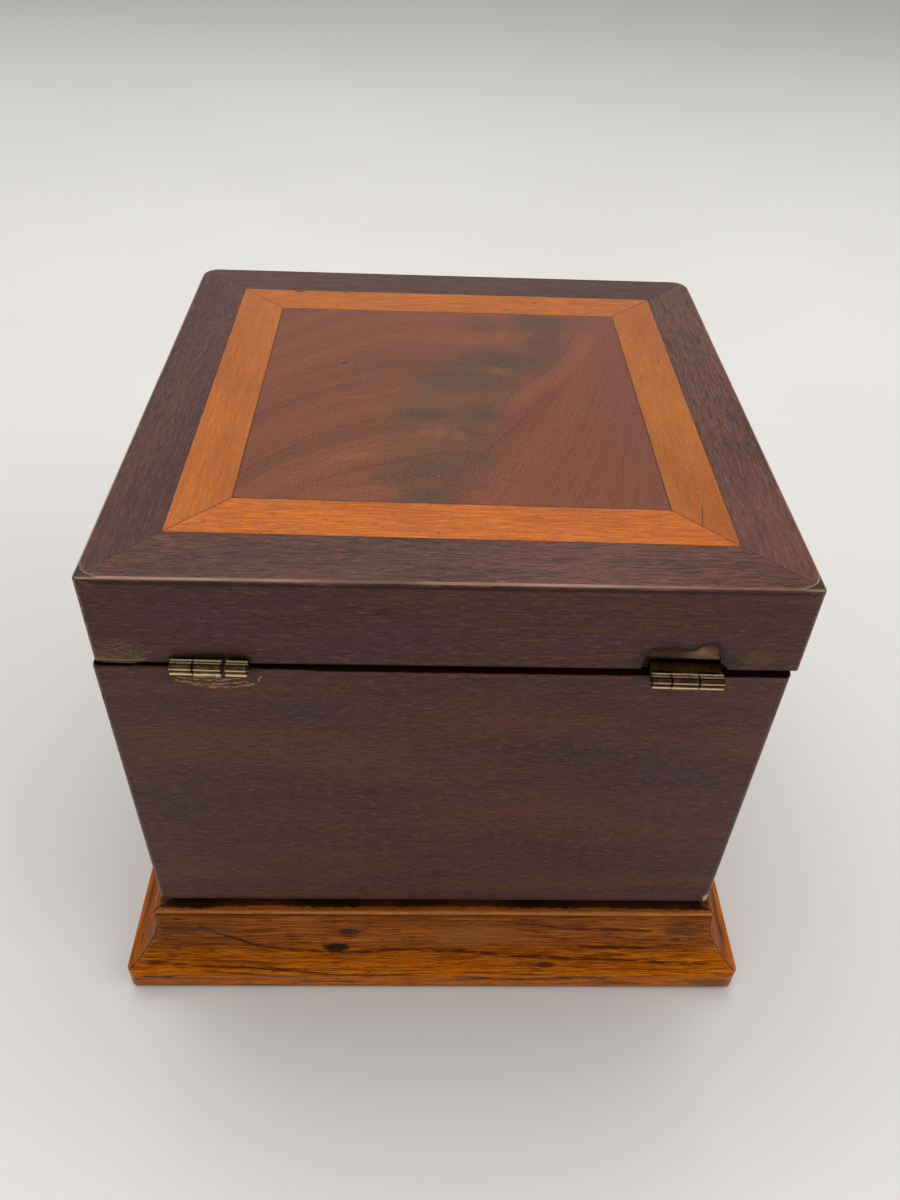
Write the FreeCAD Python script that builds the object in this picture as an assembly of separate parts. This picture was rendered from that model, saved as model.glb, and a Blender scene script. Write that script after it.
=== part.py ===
import FreeCAD, Part
import os

from FreeCAD import Matrix, Placement, Vector

# A square tea caddy: a veneered box with a hinged, inlaid lid on a coved plinth.
# Millimetres, +Z up. The origin is the centre of the plinth's footprint, on the surface it stands on.
# The front, with the keyhole, faces -Y. The hinges are on the back, at +Y.
# Left and right are as seen from the front, so left is -X and right is +X.

# ---- the case
HALF = 62.8                 # half the outside width and depth of the case and of the lid
VENEER = 1.2                # thickness of every show veneer
WALL = 8.0                  # thickness of the solid walls behind the veneer
PLINTH_TOP = 21.0
CASE_BOTTOM = 23.3          # the body's lower edge, above the dark recess
RIM = 98.45                 # top of the case walls
CORE = HALF - VENEER        # half width over the solid walls
INSIDE = CORE - WALL        # half width between the solid walls
EDGE_WEAR = 1.2             # rounding of the case's upright edges
RIM_WEAR = 1.4              # rounding of the case's top edges
FOOT_WEAR = 0.4             # rounding of the case's lower edges
EDGE_NICK_Z = 90.0          # a small nick in the right rear edge of the case
EDGE_NICK_RADIUS = 1.2
EDGE_NICK_OUT = 0.2         # how far the nick's centre lies outside the unworn edge, each way

# ---- the plinth moulding
PLINTH_INNER = 52.5         # half width inside the frame of mouldings
LEDGE = 1.8                 # ledge that shows round the foot of the body
LEDGE_NOSE = 0.8            # rounding of the ledge's edge
NECK = 1.6                  # how far the neck under the ledge stands out beyond the body
COVE_RADIUS = 12.2
COVE_TOP = 17.5
FOOT_OUT = 9.0              # how far the foot stands out beyond the body
FOOT_ROUND = 1.0            # rounding of the foot's long edges
FOOT_CORNER = 2.6           # plan rounding of the foot's corners
MITRE_GAP = 0.12            # open joint between two mouldings at a corner
BASE_HALF = 60.5
BASE_BOTTOM = 18.0
BLOCK_SIZE = 14.0           # corner glue blocks under the base board
BLOCK_BOTTOM = 2.0

# ---- corner dovetails of the solid walls
TAIL_SPREAD = 1.4           # how much wider each side of a tail is at its end
CASE_TAILS = 4
LID_TAILS = 1
TAIL_SHARE = 0.27           # half a tail's width at its shoulder, as a share of the pitch

# ---- the lid
SEAM = 0.6                  # gap between the case's rim and the lid
LID_X = -0.8                # the lid sits a little to the left of the case
LID_BOTTOM = RIM + SEAM
LID_TOP = 118.1
TOP_BOARD = 6.0
LID_EDGE = 1.0              # rounding of the lid's top edges
LID_CORNER = 0.8            # plan rounding of all four corners at the bottom
LID_FRONT_CORNER = 4.0      # plan rounding of the front corners at the top
LID_BACK_CORNER = 1.2       # plan rounding of the back corners at the top
BAND_HALF = 50.6            # half width of the satinwood band's outer edge
PANEL_HALF = 40.1           # half width of the centre panel
BAND_SKEW = 0.6             # the back strip of the band runs out of square by this much each way

# ---- the tea compartment
LINING = 2.3                # lining boards; their tops carry the inner lid
LINING_TOP = 82.5
WELL = INSIDE - LINING
FOIL = 0.3
FOIL_DROP = 1.0             # the foil ends this far below the top of the lining boards
INNER_LID_HALF = 52.5
INNER_LID_THICK = 4.5
INNER_LID_BEVEL = 1.0
KNOB_HEIGHT = 6.5
KNOB_HEAD = 5.0             # radius of the knob's head
KNOB_WAIST = 2.2
KNOB_COLLAR = 4.2
KNOB_COLLAR_EDGE = 0.5      # height of the collar's upright edge
KNOB_COLLAR_TOP = 0.9
KNOB_HEAD_LOW = 3.4
KNOB_CROWN = 0.4            # how far the head's crown rises above its shoulder

# ---- the hinges
HINGE_CENTRES = {"left": Vector(-42.9, 65.25, 98.45), "right": Vector(41.8, 63.8, 98.75)}
# Start and end of each knuckle along its own barrel: case, lid, case.
KNUCKLES = {
    "left": ((-6.35, -1.95), (-1.85, 3.0), (3.1, 6.35)),
    "right": ((-6.65, -3.05), (-2.2, 2.65), (2.75, 6.7)),
}
BARREL_RADIUS = 1.42
BARREL_FLAT = 1.22          # the barrels are filed flat on four sides, this far from the pin's axis
PIN_RADIUS = 0.55
PIN_CLEARANCE = 0.05        # running clearance of the lid's knuckle on the pin
LEAF_THICK = 0.9
LEAF_GAP = 0.2              # between the two closed leaves
LEAF_INNER = -8.0           # inner edge of a leaf, measured from the pin's axis
LEAF_OUTER = -1.55          # edge of a leaf beside the other leaf's knuckles
KNUCKLE_ROOM = 1.85         # radius cut out of the wood round the barrel
MORTISE_ROOM = 0.2
MORTISE_MOUTH = 2.6         # depth of the overcut part of the lid's mortises, from the back face
MORTISE_MOUTH_TOP = 100.4
HINGE_SCREW_U = 3.9
HINGE_SCREW_V = -5.6

# ---- screws: (head radius, head height, shank radius, whole length, slot width)
HINGE_SCREW = (1.4, 0.9, 0.7, 6.0, 0.35)
LOCK_SCREW = (1.7, 1.1, 0.85, 8.0, 0.45)
LINK_SCREW = (1.6, 1.0, 0.8, 7.0, 0.45)
SLOT_DEPTH = 0.4

# ---- where the lid's back veneer is broken away above the left hinge: (x, z) round the break
CHIP = (
    (-34.7, 98.0),
    (-35.1, 101.9),
    (-36.2, 103.3),
    (-39.4, 103.7),
    (-41.4, 103.4),
    (-43.8, 103.5),
    (-44.9, 104.6),
    (-46.8, 105.0),
    (-48.0, 104.2),
    (-48.7, 102.2),
    (-48.9, 100.9),
    (-50.3, 99.7),
    (-51.1, 98.0),
)
# A lump of old filler that hangs from the lid's right rear lower edge: (x, z)
FILLER = ((60.8, 99.4), (60.4, 98.8), (55.0, 98.65), (53.6, 99.1), (53.0, 99.4))
FILLER_DEPTH = 1.0

# ---- the lock, in the front wall
LOCK_DEPTH = 6.0            # width of the selvedge, from the wall's inside face
LOCK_HALF = 18.0
LOCK_HEIGHT = 20.0
PLATE = 1.2                 # thickness of the selvedge, the back plate and the link plate
CAP = 0.8                   # thickness of the lock's cap
SELVEDGE_HALF = 23.0
LOCK_SCREW_X = 20.5
LOOP_X = 9.0                # the link plate's loops stand at plus and minus this
LOOP_THICK = 1.8
LOOP_DEPTH = 3.2
LOOP_BOTTOM = 91.5
LOOP_SIDE = 0.7             # metal each side of a loop's window
LOOP_WINDOW_LOW = 92.5
LOOP_WINDOW_HIGH = 95.1
SLOT_ROOM_X = 0.4
SLOT_ROOM_Y = 0.6
BOLT_TRAVEL = 4.0
FINGER_LOW = 92.9
FINGER_HIGH = 94.7
FINGER_DEPTH = 1.2
FINGER_START = 0.6          # the fingers' tips stop this far short of the loops when unlocked
POST_WIDTH = 2.5
POST_ROOM = 0.2             # the posts stop this far short of the loops when locked
BOLT_BAR_LOW = 87.2
BOLT_BAR_HIGH = 90.6
BOLT_DEPTH = 3.0
TALON_HALF = 2.2            # notch in the bolt's lower edge that the key turns in
TALON_HIGH = 88.8
KEY_Z = 84.0
KEYHOLE_RADIUS = 1.8
KEYHOLE_SLOT = 0.8          # half width of the keyhole's slot
KEYHOLE_BOTTOM = 79.8
ESCUTCHEON_RIM = 1.0
ESCUTCHEON_PROUD = 0.15
DRILL_PIN_RADIUS = 0.9
DRILL_PIN_LENGTH = 6.2
SPRING_X = -2.4
SPRING_RADIUS = 2.9
SPRING_THICK = 0.35
SPRING_DEPTH = 2.4
LINK_HALF = 18.0
LINK_SCREW_X = 14.5

FAR = 200.0                 # longer than the whole caddy: for tools that cut right through
LEVEL = 0.01                # how far off an edge may lie and still count as level
SIDES = ("front", "right", "back", "left")

LOCK_BACK = -INSIDE                     # inside face of the front wall
LOCK_FRONT = -INSIDE - LOCK_DEPTH
LOCK_MIDDLE = LOCK_BACK - (PLATE + LOCK_DEPTH - CAP) / 2
LOCK_BOTTOM = RIM - LOCK_HEIGHT
TOP_VENEER_BOTTOM = LID_TOP - VENEER
TOP_BOARD_BOTTOM = TOP_VENEER_BOTTOM - TOP_BOARD


# ---------------------------------------------------------------- helpers

def block(x0, x1, y0, y1, z0, z1):
    """A box between two corners."""
    return Part.makeBox(x1 - x0, y1 - y0, z1 - z0, Vector(x0, y0, z0))


def prism(points, direction):
    """A straight prism from a closed outline of vectors."""
    outline = Part.makePolygon(list(points) + [points[0]])
    return Part.Face(outline).extrude(direction)


def rod(start, direction, radius):
    """A round rod from a start point, as long as its direction vector."""
    return Part.makeCylinder(radius, direction.Length, start, direction)


def join(shapes):
    """One solid from shapes that touch or overlap."""
    shapes = list(shapes)
    return shapes[0].fuse(shapes[1:]).removeSplitter()


def group(shapes):
    """Separate solids kept in one node."""
    return Part.makeCompound(list(shapes))


def square(half, centre_x=0.0):
    """Corners of a square in plan, from the front left one, anticlockwise."""
    left = centre_x - half
    right = centre_x + half
    return [Vector(left, -half, 0), Vector(right, -half, 0), Vector(right, half, 0), Vector(left, half, 0)]


def mitred_strip(outer, inner, side, bottom, top):
    """One side of a frame between two four-cornered outlines, mitred at both ends."""
    following = (side + 1) % len(outer)
    corners = [outer[side], outer[following], inner[following], inner[side]]
    lift = Vector(0, 0, bottom)
    return prism([corner + lift for corner in corners], Vector(0, 0, top - bottom))


def placed(shape, place):
    """A copy of a shape moved from its own frame into the caddy's."""
    shape = shape.copy()
    shape.Placement = place
    return shape


def screw_body(size):
    """A countersunk screw without its slot: the head's face at the origin, the shank along -Z."""
    head_radius, head_height, shank_radius, length, slot_width = size
    head = Part.makeCone(shank_radius, head_radius, head_height, Vector(0, 0, -head_height))
    shank = rod(Vector(0, 0, -length), Vector(0, 0, length - head_height), shank_radius)
    return join([head, shank])


def screw(size, place):
    """A slotted, countersunk screw."""
    head_radius = size[0]
    slot_half = size[4] / 2
    slot = block(-head_radius, head_radius, -slot_half, slot_half, -SLOT_DEPTH, SLOT_DEPTH)
    return placed(screw_body(size).cut(slot), place)


def screw_hole(size, place):
    """The countersunk hole that a screw fills, open above its head."""
    above = rod(Vector(0, 0, 0), Vector(0, 0, SLOT_DEPTH), size[0])
    return placed(join([screw_body(size), above]), place)


def upright_edges(shape, back):
    """Upright edges on the front or on the back of a box."""
    found = []
    for edge in shape.Edges:
        low, high = edge.BoundBox.ZMin, edge.BoundBox.ZMax
        if high - low > LID_EDGE and (edge.CenterOfMass.y > 0) == back:
            found.append(edge)
    return found


def level_edges(shape, height):
    """Edges that lie wholly at one height."""
    return [edge for edge in shape.Edges
            if abs(edge.BoundBox.ZMin - height) < LEVEL and abs(edge.BoundBox.ZMax - height) < LEVEL]


def save(name, shape):
    """Write one node and say how many solids it holds."""
    assert shape.isValid(), name
    assert all(solid.isClosed() for solid in shape.Solids), name
    if len(shape.Solids) == 1:
        shape = shape.Solids[0]
    shape.exportStep("parts/" + name + ".step")
    print(name, len(shape.Solids), round(shape.Volume, 2))


# ---------------------------------------------------------------- outer forms

def case_form():
    """The case's worn outer form, which every outer piece of the case is trimmed to."""
    form = block(-HALF, HALF, -HALF, HALF, CASE_BOTTOM, RIM)
    form = form.makeFillet(EDGE_WEAR, upright_edges(form, True) + upright_edges(form, False))
    form = form.makeFillet(RIM_WEAR, level_edges(form, RIM))
    form = form.makeFillet(FOOT_WEAR, level_edges(form, CASE_BOTTOM))
    nick = Part.makeSphere(EDGE_NICK_RADIUS)
    nick.translate(Vector(HALF + EDGE_NICK_OUT, HALF + EDGE_NICK_OUT, EDGE_NICK_Z))
    return form.cut(nick)


def lid_form():
    """The lid's outer form: corners that round off more towards the top, and rounded top edges."""
    form = block(LID_X - HALF, LID_X + HALF, -HALF, HALF, LID_BOTTOM, LID_TOP)
    form = form.makeFillet(LID_CORNER, LID_FRONT_CORNER, upright_edges(form, False))
    form = form.makeFillet(LID_CORNER, LID_BACK_CORNER, upright_edges(form, True))
    return form.makeFillet(LID_EDGE, level_edges(form, LID_TOP))


# ---------------------------------------------------------------- walls

def wall_tails(side_x, centre_x, bottom, top, count):
    """The dovetails at both ends of one side wall."""
    pitch = (top - bottom) / count
    half_shoulder = TAIL_SHARE * pitch
    half_end = half_shoulder + TAIL_SPREAD
    start_x = centre_x + min(side_x * INSIDE, side_x * CORE)
    tails = []
    for end_y in (-1, 1):
        for number in range(count):
            middle = bottom + (number + 0.5) * pitch
            outline = [
                Vector(start_x, end_y * INSIDE, middle - half_shoulder),
                Vector(start_x, end_y * CORE, middle - half_end),
                Vector(start_x, end_y * CORE, middle + half_end),
                Vector(start_x, end_y * INSIDE, middle + half_shoulder),
            ]
            tails.append(prism(outline, Vector(WALL, 0, 0)))
    return tails


def side_wall(side_x, centre_x, bottom, top, count):
    """A left or right wall, with its dovetails."""
    x0, x1 = sorted((side_x * INSIDE, side_x * CORE))
    board = block(centre_x + x0, centre_x + x1, -INSIDE, INSIDE, bottom, top)
    return join([board] + wall_tails(side_x, centre_x, bottom, top, count))


def cross_wall(side_y, centre_x, bottom, top, count):
    """A front or back wall, cut to take the dovetails of the side walls."""
    y0, y1 = sorted((side_y * INSIDE, side_y * CORE))
    board = block(centre_x - CORE, centre_x + CORE, y0, y1, bottom, top)
    tails = []
    for side_x in (-1, 1):
        tails += wall_tails(side_x, centre_x, bottom, top, count)
    return board.cut(tails)


# ---------------------------------------------------------------- hinges

def hinge_place(side):
    """A hinge's own frame: X along the pins' common axis, Y out of the back, Z up."""
    along = HINGE_CENTRES["right"] - HINGE_CENTRES["left"]
    along.normalize()
    out = Vector(0, 0, 1).cross(along)
    out.normalize()
    up = along.cross(out)
    centre = HINGE_CENTRES[side]
    return Placement(Matrix(along.x, out.x, up.x, centre.x,
                            along.y, out.y, up.y, centre.y,
                            along.z, out.z, up.z, centre.z,
                            0, 0, 0, 1))


def hinge_ends(side):
    """Start and end of a hinge along its barrel."""
    return KNUCKLES[side][0][0], KNUCKLES[side][-1][-1]


def knuckle(start, end):
    """One knuckle: a round filed flat on four sides."""
    round_part = rod(Vector(start, 0, 0), Vector(end - start, 0, 0), BARREL_RADIUS)
    flats = block(start, end, -BARREL_FLAT, BARREL_FLAT, -BARREL_FLAT, BARREL_FLAT)
    return round_part.common(flats)


def leaf_screw_places(side, up):
    """Where a leaf's two screws sit; a lid leaf's screws point up."""
    places = []
    for u in (-HINGE_SCREW_U, HINGE_SCREW_U):
        if up:
            turn = FreeCAD.Rotation(Vector(1, 0, 0), 180)
            local = Placement(Vector(u, HINGE_SCREW_V, LEAF_GAP / 2), turn)
        else:
            local = Placement(Vector(u, HINGE_SCREW_V, -LEAF_GAP / 2), FreeCAD.Rotation())
        places.append(hinge_place(side).multiply(local))
    return places


def hinge_screw_holes(up):
    """The holes of all the screws that point one way, in both hinges."""
    places = []
    for side in HINGE_CENTRES:
        places += leaf_screw_places(side, up)
    return [screw_hole(HINGE_SCREW, place) for place in places]


def case_leaf(side):
    """The leaf let into the case's rim, with the two outer knuckles."""
    start, end = hinge_ends(side)
    top = -LEAF_GAP / 2
    bottom = top - LEAF_THICK
    pieces = [block(start, end, LEAF_INNER, LEAF_OUTER, bottom, top)]
    for first, last in (KNUCKLES[side][0], KNUCKLES[side][2]):
        pieces.append(knuckle(first, last))
        pieces.append(block(first, last, LEAF_OUTER, 0, bottom, top))
    bore = rod(Vector(start, 0, 0), Vector(end - start, 0, 0), PIN_RADIUS)
    leaf = placed(join(pieces).cut(bore), hinge_place(side))
    return leaf.cut([screw_hole(HINGE_SCREW, place) for place in leaf_screw_places(side, False)])


def lid_leaf(side):
    """The leaf let into the lid's rim; its knuckle's square lower corner is the stop of the open lid."""
    start, end = hinge_ends(side)
    bottom = LEAF_GAP / 2
    top = bottom + LEAF_THICK
    first, last = KNUCKLES[side][1]
    pieces = [
        block(start, end, LEAF_INNER, LEAF_OUTER, bottom, top),
        knuckle(first, last),
        block(first, last, LEAF_OUTER, 0, bottom, top),
        block(first, last, 0, BARREL_FLAT, -BARREL_FLAT, 0),
    ]
    bore = rod(Vector(start, 0, 0), Vector(end - start, 0, 0), PIN_RADIUS + PIN_CLEARANCE)
    leaf = placed(join(pieces).cut(bore), hinge_place(side))
    return leaf.cut([screw_hole(HINGE_SCREW, place) for place in leaf_screw_places(side, True)])


def hinge_pin(side):
    """The pin, held fast in the case's knuckles."""
    start, end = hinge_ends(side)
    return placed(rod(Vector(start, 0, 0), Vector(end - start, 0, 0), PIN_RADIUS), hinge_place(side))


def case_mortise(side):
    """The wood cut away from the case for one hinge."""
    start, end = hinge_ends(side)
    bottom = -LEAF_GAP / 2 - LEAF_THICK
    bed = block(start - MORTISE_ROOM, end + MORTISE_ROOM, LEAF_INNER - MORTISE_ROOM, FAR, bottom, LEAF_THICK)
    length = Vector(end - start + 2 * MORTISE_ROOM, 0, 0)
    scoop = rod(Vector(start - MORTISE_ROOM, 0, 0), length, KNUCKLE_ROOM)
    return placed(join([bed, scoop]), hinge_place(side))


def lid_mortise(side):
    """The wood cut away from the lid for one hinge, cut too high at its mouth."""
    start, end = hinge_ends(side)
    top = LEAF_GAP / 2 + LEAF_THICK
    bed = block(start - MORTISE_ROOM, end + MORTISE_ROOM, LEAF_INNER - MORTISE_ROOM, FAR, -LEAF_THICK, top)
    centre = HINGE_CENTRES[side]
    mouth = block(centre.x + start - MORTISE_ROOM, centre.x + end + MORTISE_ROOM,
                  HALF - MORTISE_MOUTH, FAR, LID_BOTTOM - SEAM, MORTISE_MOUTH_TOP)
    return join([placed(bed, hinge_place(side)), mouth])


# ---------------------------------------------------------------- lock

def keyhole(y0, y1, grow=0.0):
    """A keyhole-shaped plug between two depths, grown all round if asked."""
    length = Vector(0, y1 - y0, 0)
    top = rod(Vector(0, y0, KEY_Z), length, KEYHOLE_RADIUS + grow)
    slot_half = KEYHOLE_SLOT + grow
    bottom = KEYHOLE_BOTTOM - grow
    slot = block(-slot_half, slot_half, y0, y1, bottom + slot_half, KEY_Z)
    end = rod(Vector(0, y0, bottom + slot_half), length, slot_half)
    return join([top, slot, end])


def lock_screw_places():
    """Where the selvedge's two screws sit."""
    y = (LOCK_BACK + LOCK_FRONT) / 2
    return [Placement(Vector(x, y, RIM), FreeCAD.Rotation()) for x in (-LOCK_SCREW_X, LOCK_SCREW_X)]


def lock_pocket():
    """The wood cut away from the front wall for the lock, its selvedge and the key."""
    works = block(-LOCK_HALF, LOCK_HALF, LOCK_FRONT, LOCK_BACK + WALL, LOCK_BOTTOM, RIM)
    rim = block(-SELVEDGE_HALF, SELVEDGE_HALF, LOCK_FRONT, LOCK_BACK + WALL, RIM - PLATE, RIM)
    tools = [works, rim, keyhole(-HALF - VENEER, LOCK_FRONT)]
    tools += [screw_hole(LOCK_SCREW, place) for place in lock_screw_places()]
    return join(tools)


def loop_slot(x):
    """The slot in the selvedge that one loop of the link plate drops into."""
    half_x = LOOP_THICK / 2 + SLOT_ROOM_X
    half_y = LOOP_DEPTH / 2 + SLOT_ROOM_Y
    middle = LOCK_MIDDLE
    return block(x - half_x, x + half_x, middle - half_y, middle + half_y, RIM - 2 * PLATE, RIM + PLATE)


def lock_plate():
    """The selvedge in the rim and the back plate below it, in one piece."""
    selvedge = block(-SELVEDGE_HALF, SELVEDGE_HALF, LOCK_FRONT, LOCK_BACK, RIM - PLATE, RIM)
    back = block(-LOCK_HALF, LOCK_HALF, LOCK_BACK - PLATE, LOCK_BACK, LOCK_BOTTOM, RIM - PLATE)
    tools = [loop_slot(-LOOP_X), loop_slot(LOOP_X)]
    tools += [screw_hole(LOCK_SCREW, place) for place in lock_screw_places()]
    return join([selvedge, back]).cut(tools)


def lock_cap():
    """The tray that closes the lock's works towards the keyhole."""
    behind = LOCK_BACK - PLATE
    tray = block(-LOCK_HALF, LOCK_HALF, LOCK_FRONT, behind, LOCK_BOTTOM, RIM - PLATE)
    hollow = block(CAP - LOCK_HALF, LOCK_HALF - CAP, LOCK_FRONT + CAP, behind, LOCK_BOTTOM + CAP, RIM - PLATE)
    return tray.cut([hollow, keyhole(LOCK_FRONT, LOCK_FRONT + CAP)])


def lock_bolt():
    """The sliding bolt: a bar with two hooked fingers that enter the link plate's loops."""
    thin = FINGER_DEPTH / 2
    thick = BOLT_DEPTH / 2
    middle = LOCK_MIDDLE
    pieces = []
    posts = []
    for x in (-LOOP_X, LOOP_X):
        loop_edge = x - LOOP_THICK / 2
        tip = loop_edge - FINGER_START
        post_end = loop_edge - POST_ROOM - BOLT_TRAVEL
        post_start = post_end - POST_WIDTH
        posts += [post_start, post_end]
        pieces.append(block(post_start, tip, middle - thin, middle + thin, FINGER_LOW, FINGER_HIGH))
        pieces.append(block(post_start, post_end, middle - thin, middle + thin, BOLT_BAR_LOW, FINGER_HIGH))
    left = min(posts)
    right = max(posts)
    pieces.append(block(left, right, middle - thick, middle + thick, BOLT_BAR_LOW, BOLT_BAR_HIGH))
    talon_x = (left + right) / 2
    talon = block(talon_x - TALON_HALF, talon_x + TALON_HALF, -FAR, FAR, BOLT_BAR_LOW, TALON_HIGH)
    return join(pieces).cut(talon)


def lock_spring():
    """A U-shaped leaf spring that hangs from the selvedge and presses on the bolt's bar."""
    front = LOCK_MIDDLE - SPRING_DEPTH / 2
    back = LOCK_MIDDLE + SPRING_DEPTH / 2
    bend_z = BOLT_BAR_HIGH + SPRING_RADIUS
    centre = Vector(SPRING_X, front, bend_z)
    width = Vector(0, SPRING_DEPTH, 0)
    bend = rod(centre, width, SPRING_RADIUS).cut(rod(centre, width, SPRING_RADIUS - SPRING_THICK))
    bend = bend.common(block(-FAR, FAR, -FAR, FAR, BOLT_BAR_HIGH, bend_z))
    left = SPRING_X - SPRING_RADIUS
    right = SPRING_X + SPRING_RADIUS
    left_leg = block(left, left + SPRING_THICK, front, back, bend_z, RIM - PLATE)
    right_leg = block(right - SPRING_THICK, right, front, back, bend_z, RIM - PLATE)
    return join([bend, left_leg, right_leg])


def drill_pin():
    """The pin that a pipe key turns on, fixed to the back plate."""
    return rod(Vector(0, LOCK_BACK - PLATE, KEY_Z), Vector(0, -DRILL_PIN_LENGTH, 0), DRILL_PIN_RADIUS)


def escutcheon():
    """A brass lining to the keyhole, let into the front veneer."""
    outer = keyhole(-HALF - ESCUTCHEON_PROUD, -CORE, ESCUTCHEON_RIM)
    return outer.cut(keyhole(-FAR, FAR))


def link_screw_places():
    """Where the link plate's two screws sit; they point up into the lid."""
    turn = FreeCAD.Rotation(Vector(1, 0, 0), 180)
    y = (LOCK_BACK + LOCK_FRONT) / 2
    return [Placement(Vector(x, y, LID_BOTTOM), turn) for x in (-LINK_SCREW_X, LINK_SCREW_X)]


def link_plate():
    """The plate in the lid's front rim, with two loops that hang down into the lock."""
    pieces = [block(-LINK_HALF, LINK_HALF, LOCK_FRONT, LOCK_BACK, LID_BOTTOM, LID_BOTTOM + PLATE)]
    windows = []
    half_x = LOOP_THICK / 2
    half_y = LOOP_DEPTH / 2
    window_half = half_y - LOOP_SIDE
    for x in (-LOOP_X, LOOP_X):
        pieces.append(block(x - half_x, x + half_x, LOCK_MIDDLE - half_y, LOCK_MIDDLE + half_y,
                            LOOP_BOTTOM, LID_BOTTOM + PLATE))
        windows.append(block(x - half_x, x + half_x, LOCK_MIDDLE - window_half, LOCK_MIDDLE + window_half,
                             LOOP_WINDOW_LOW, LOOP_WINDOW_HIGH))
    windows += [screw_hole(LINK_SCREW, place) for place in link_screw_places()]
    return join(pieces).cut(windows)


def link_recess():
    """The wood cut away from the lid's front wall for the link plate and its screws."""
    bed = block(-LINK_HALF, LINK_HALF, LOCK_FRONT, LOCK_BACK + WALL, LID_BOTTOM, LID_BOTTOM + PLATE)
    return join([bed] + [screw_hole(LINK_SCREW, place) for place in link_screw_places()])


# ---------------------------------------------------------------- plinth

def plinth_profile():
    """Section of the back moulding: a ledge with a rounded nose, a quirk, a neck, a cove and a foot."""
    neck = HALF + NECK
    nose = HALF + LEDGE - LEDGE_NOSE
    foot = HALF + FOOT_OUT
    nose_low = PLINTH_TOP - 2 * LEDGE_NOSE
    cove_centre = neck + COVE_RADIUS

    def cove_drop(y):
        """How far the cove lies below its top at this distance from the caddy's middle."""
        return (COVE_RADIUS ** 2 - (cove_centre - y) ** 2) ** 0.5

    def at(y, z):
        return Vector(0, y, z)

    cove_middle = (neck + foot) / 2
    cove_low = at(foot, COVE_TOP - cove_drop(foot))
    cove = Part.Arc(cove_low, at(cove_middle, COVE_TOP - cove_drop(cove_middle)), at(neck, COVE_TOP))
    rounded_nose = Part.Arc(at(nose, nose_low), at(HALF + LEDGE, nose_low + LEDGE_NOSE), at(nose, PLINTH_TOP))
    corners = [at(nose, PLINTH_TOP), at(BASE_HALF, PLINTH_TOP), at(BASE_HALF, BASE_BOTTOM),
               at(PLINTH_INNER, BASE_BOTTOM), at(PLINTH_INNER, 0), at(foot, 0), cove_low]
    edges = [Part.makeLine(start, end) for start, end in zip(corners, corners[1:])]
    edges.append(cove.toShape())
    edges.append(Part.makeLine(at(neck, COVE_TOP), at(neck, nose_low)))
    edges.append(Part.makeLine(at(neck, nose_low), at(nose, nose_low)))
    edges.append(rounded_nose.toShape())
    return Part.Wire(edges)


def plinth_strip(side):
    """One mitred moulding, with its long lower edges and its corners rounded."""
    foot = HALF + FOOT_OUT
    bar = Part.Face(plinth_profile())
    bar.translate(Vector(-FAR / 2, 0, 0))
    bar = bar.extrude(Vector(FAR, 0, 0))
    long_edges = [edge for edge in bar.Edges
                  if edge.BoundBox.YMin > foot - FOOT_ROUND and edge.Length > FAR / 2]
    bar = bar.makeFillet(FOOT_ROUND, long_edges)
    gap = MITRE_GAP / 2
    reach = FAR / 2
    wedge = prism([Vector(0, gap, 0), Vector(reach, reach + gap, 0), Vector(-reach, reach + gap, 0)],
                  Vector(0, 0, FAR))
    footprint = block(-foot, foot, -foot, foot, 0, FAR)
    corners = upright_edges(footprint, True) + upright_edges(footprint, False)
    footprint = footprint.makeFillet(FOOT_CORNER, corners)
    bar = bar.common(wedge).common(footprint)
    turns = {"back": 0, "left": 90, "front": 180, "right": 270}
    bar.rotate(Vector(0, 0, 0), Vector(0, 0, 1), turns[side])
    return bar


def glue_blocks():
    """Four blocks that tie the plinth's corners to the base board."""
    blocks = []
    for side_x in (-1, 1):
        for side_y in (-1, 1):
            x0, x1 = sorted((side_x * PLINTH_INNER, side_x * (PLINTH_INNER - BLOCK_SIZE)))
            y0, y1 = sorted((side_y * PLINTH_INNER, side_y * (PLINTH_INNER - BLOCK_SIZE)))
            blocks.append(block(x0, x1, y0, y1, BLOCK_BOTTOM, BASE_BOTTOM))
    return group(blocks)


# ---------------------------------------------------------------- inside

def foil_lining():
    """A thin open box that lines the tea compartment."""
    outer = block(-WELL, WELL, -WELL, WELL, CASE_BOTTOM, LINING_TOP - FOIL_DROP)
    inner = block(FOIL - WELL, WELL - FOIL, FOIL - WELL, WELL - FOIL, CASE_BOTTOM + FOIL, LINING_TOP)
    return outer.cut(inner)


def inner_lid():
    """A loose lid for the tea, with bevelled top edges."""
    top = LINING_TOP + INNER_LID_THICK
    half = INNER_LID_HALF
    panel = block(-half, half, -half, half, LINING_TOP, top)
    return panel.makeChamfer(INNER_LID_BEVEL, level_edges(panel, top))


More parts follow.
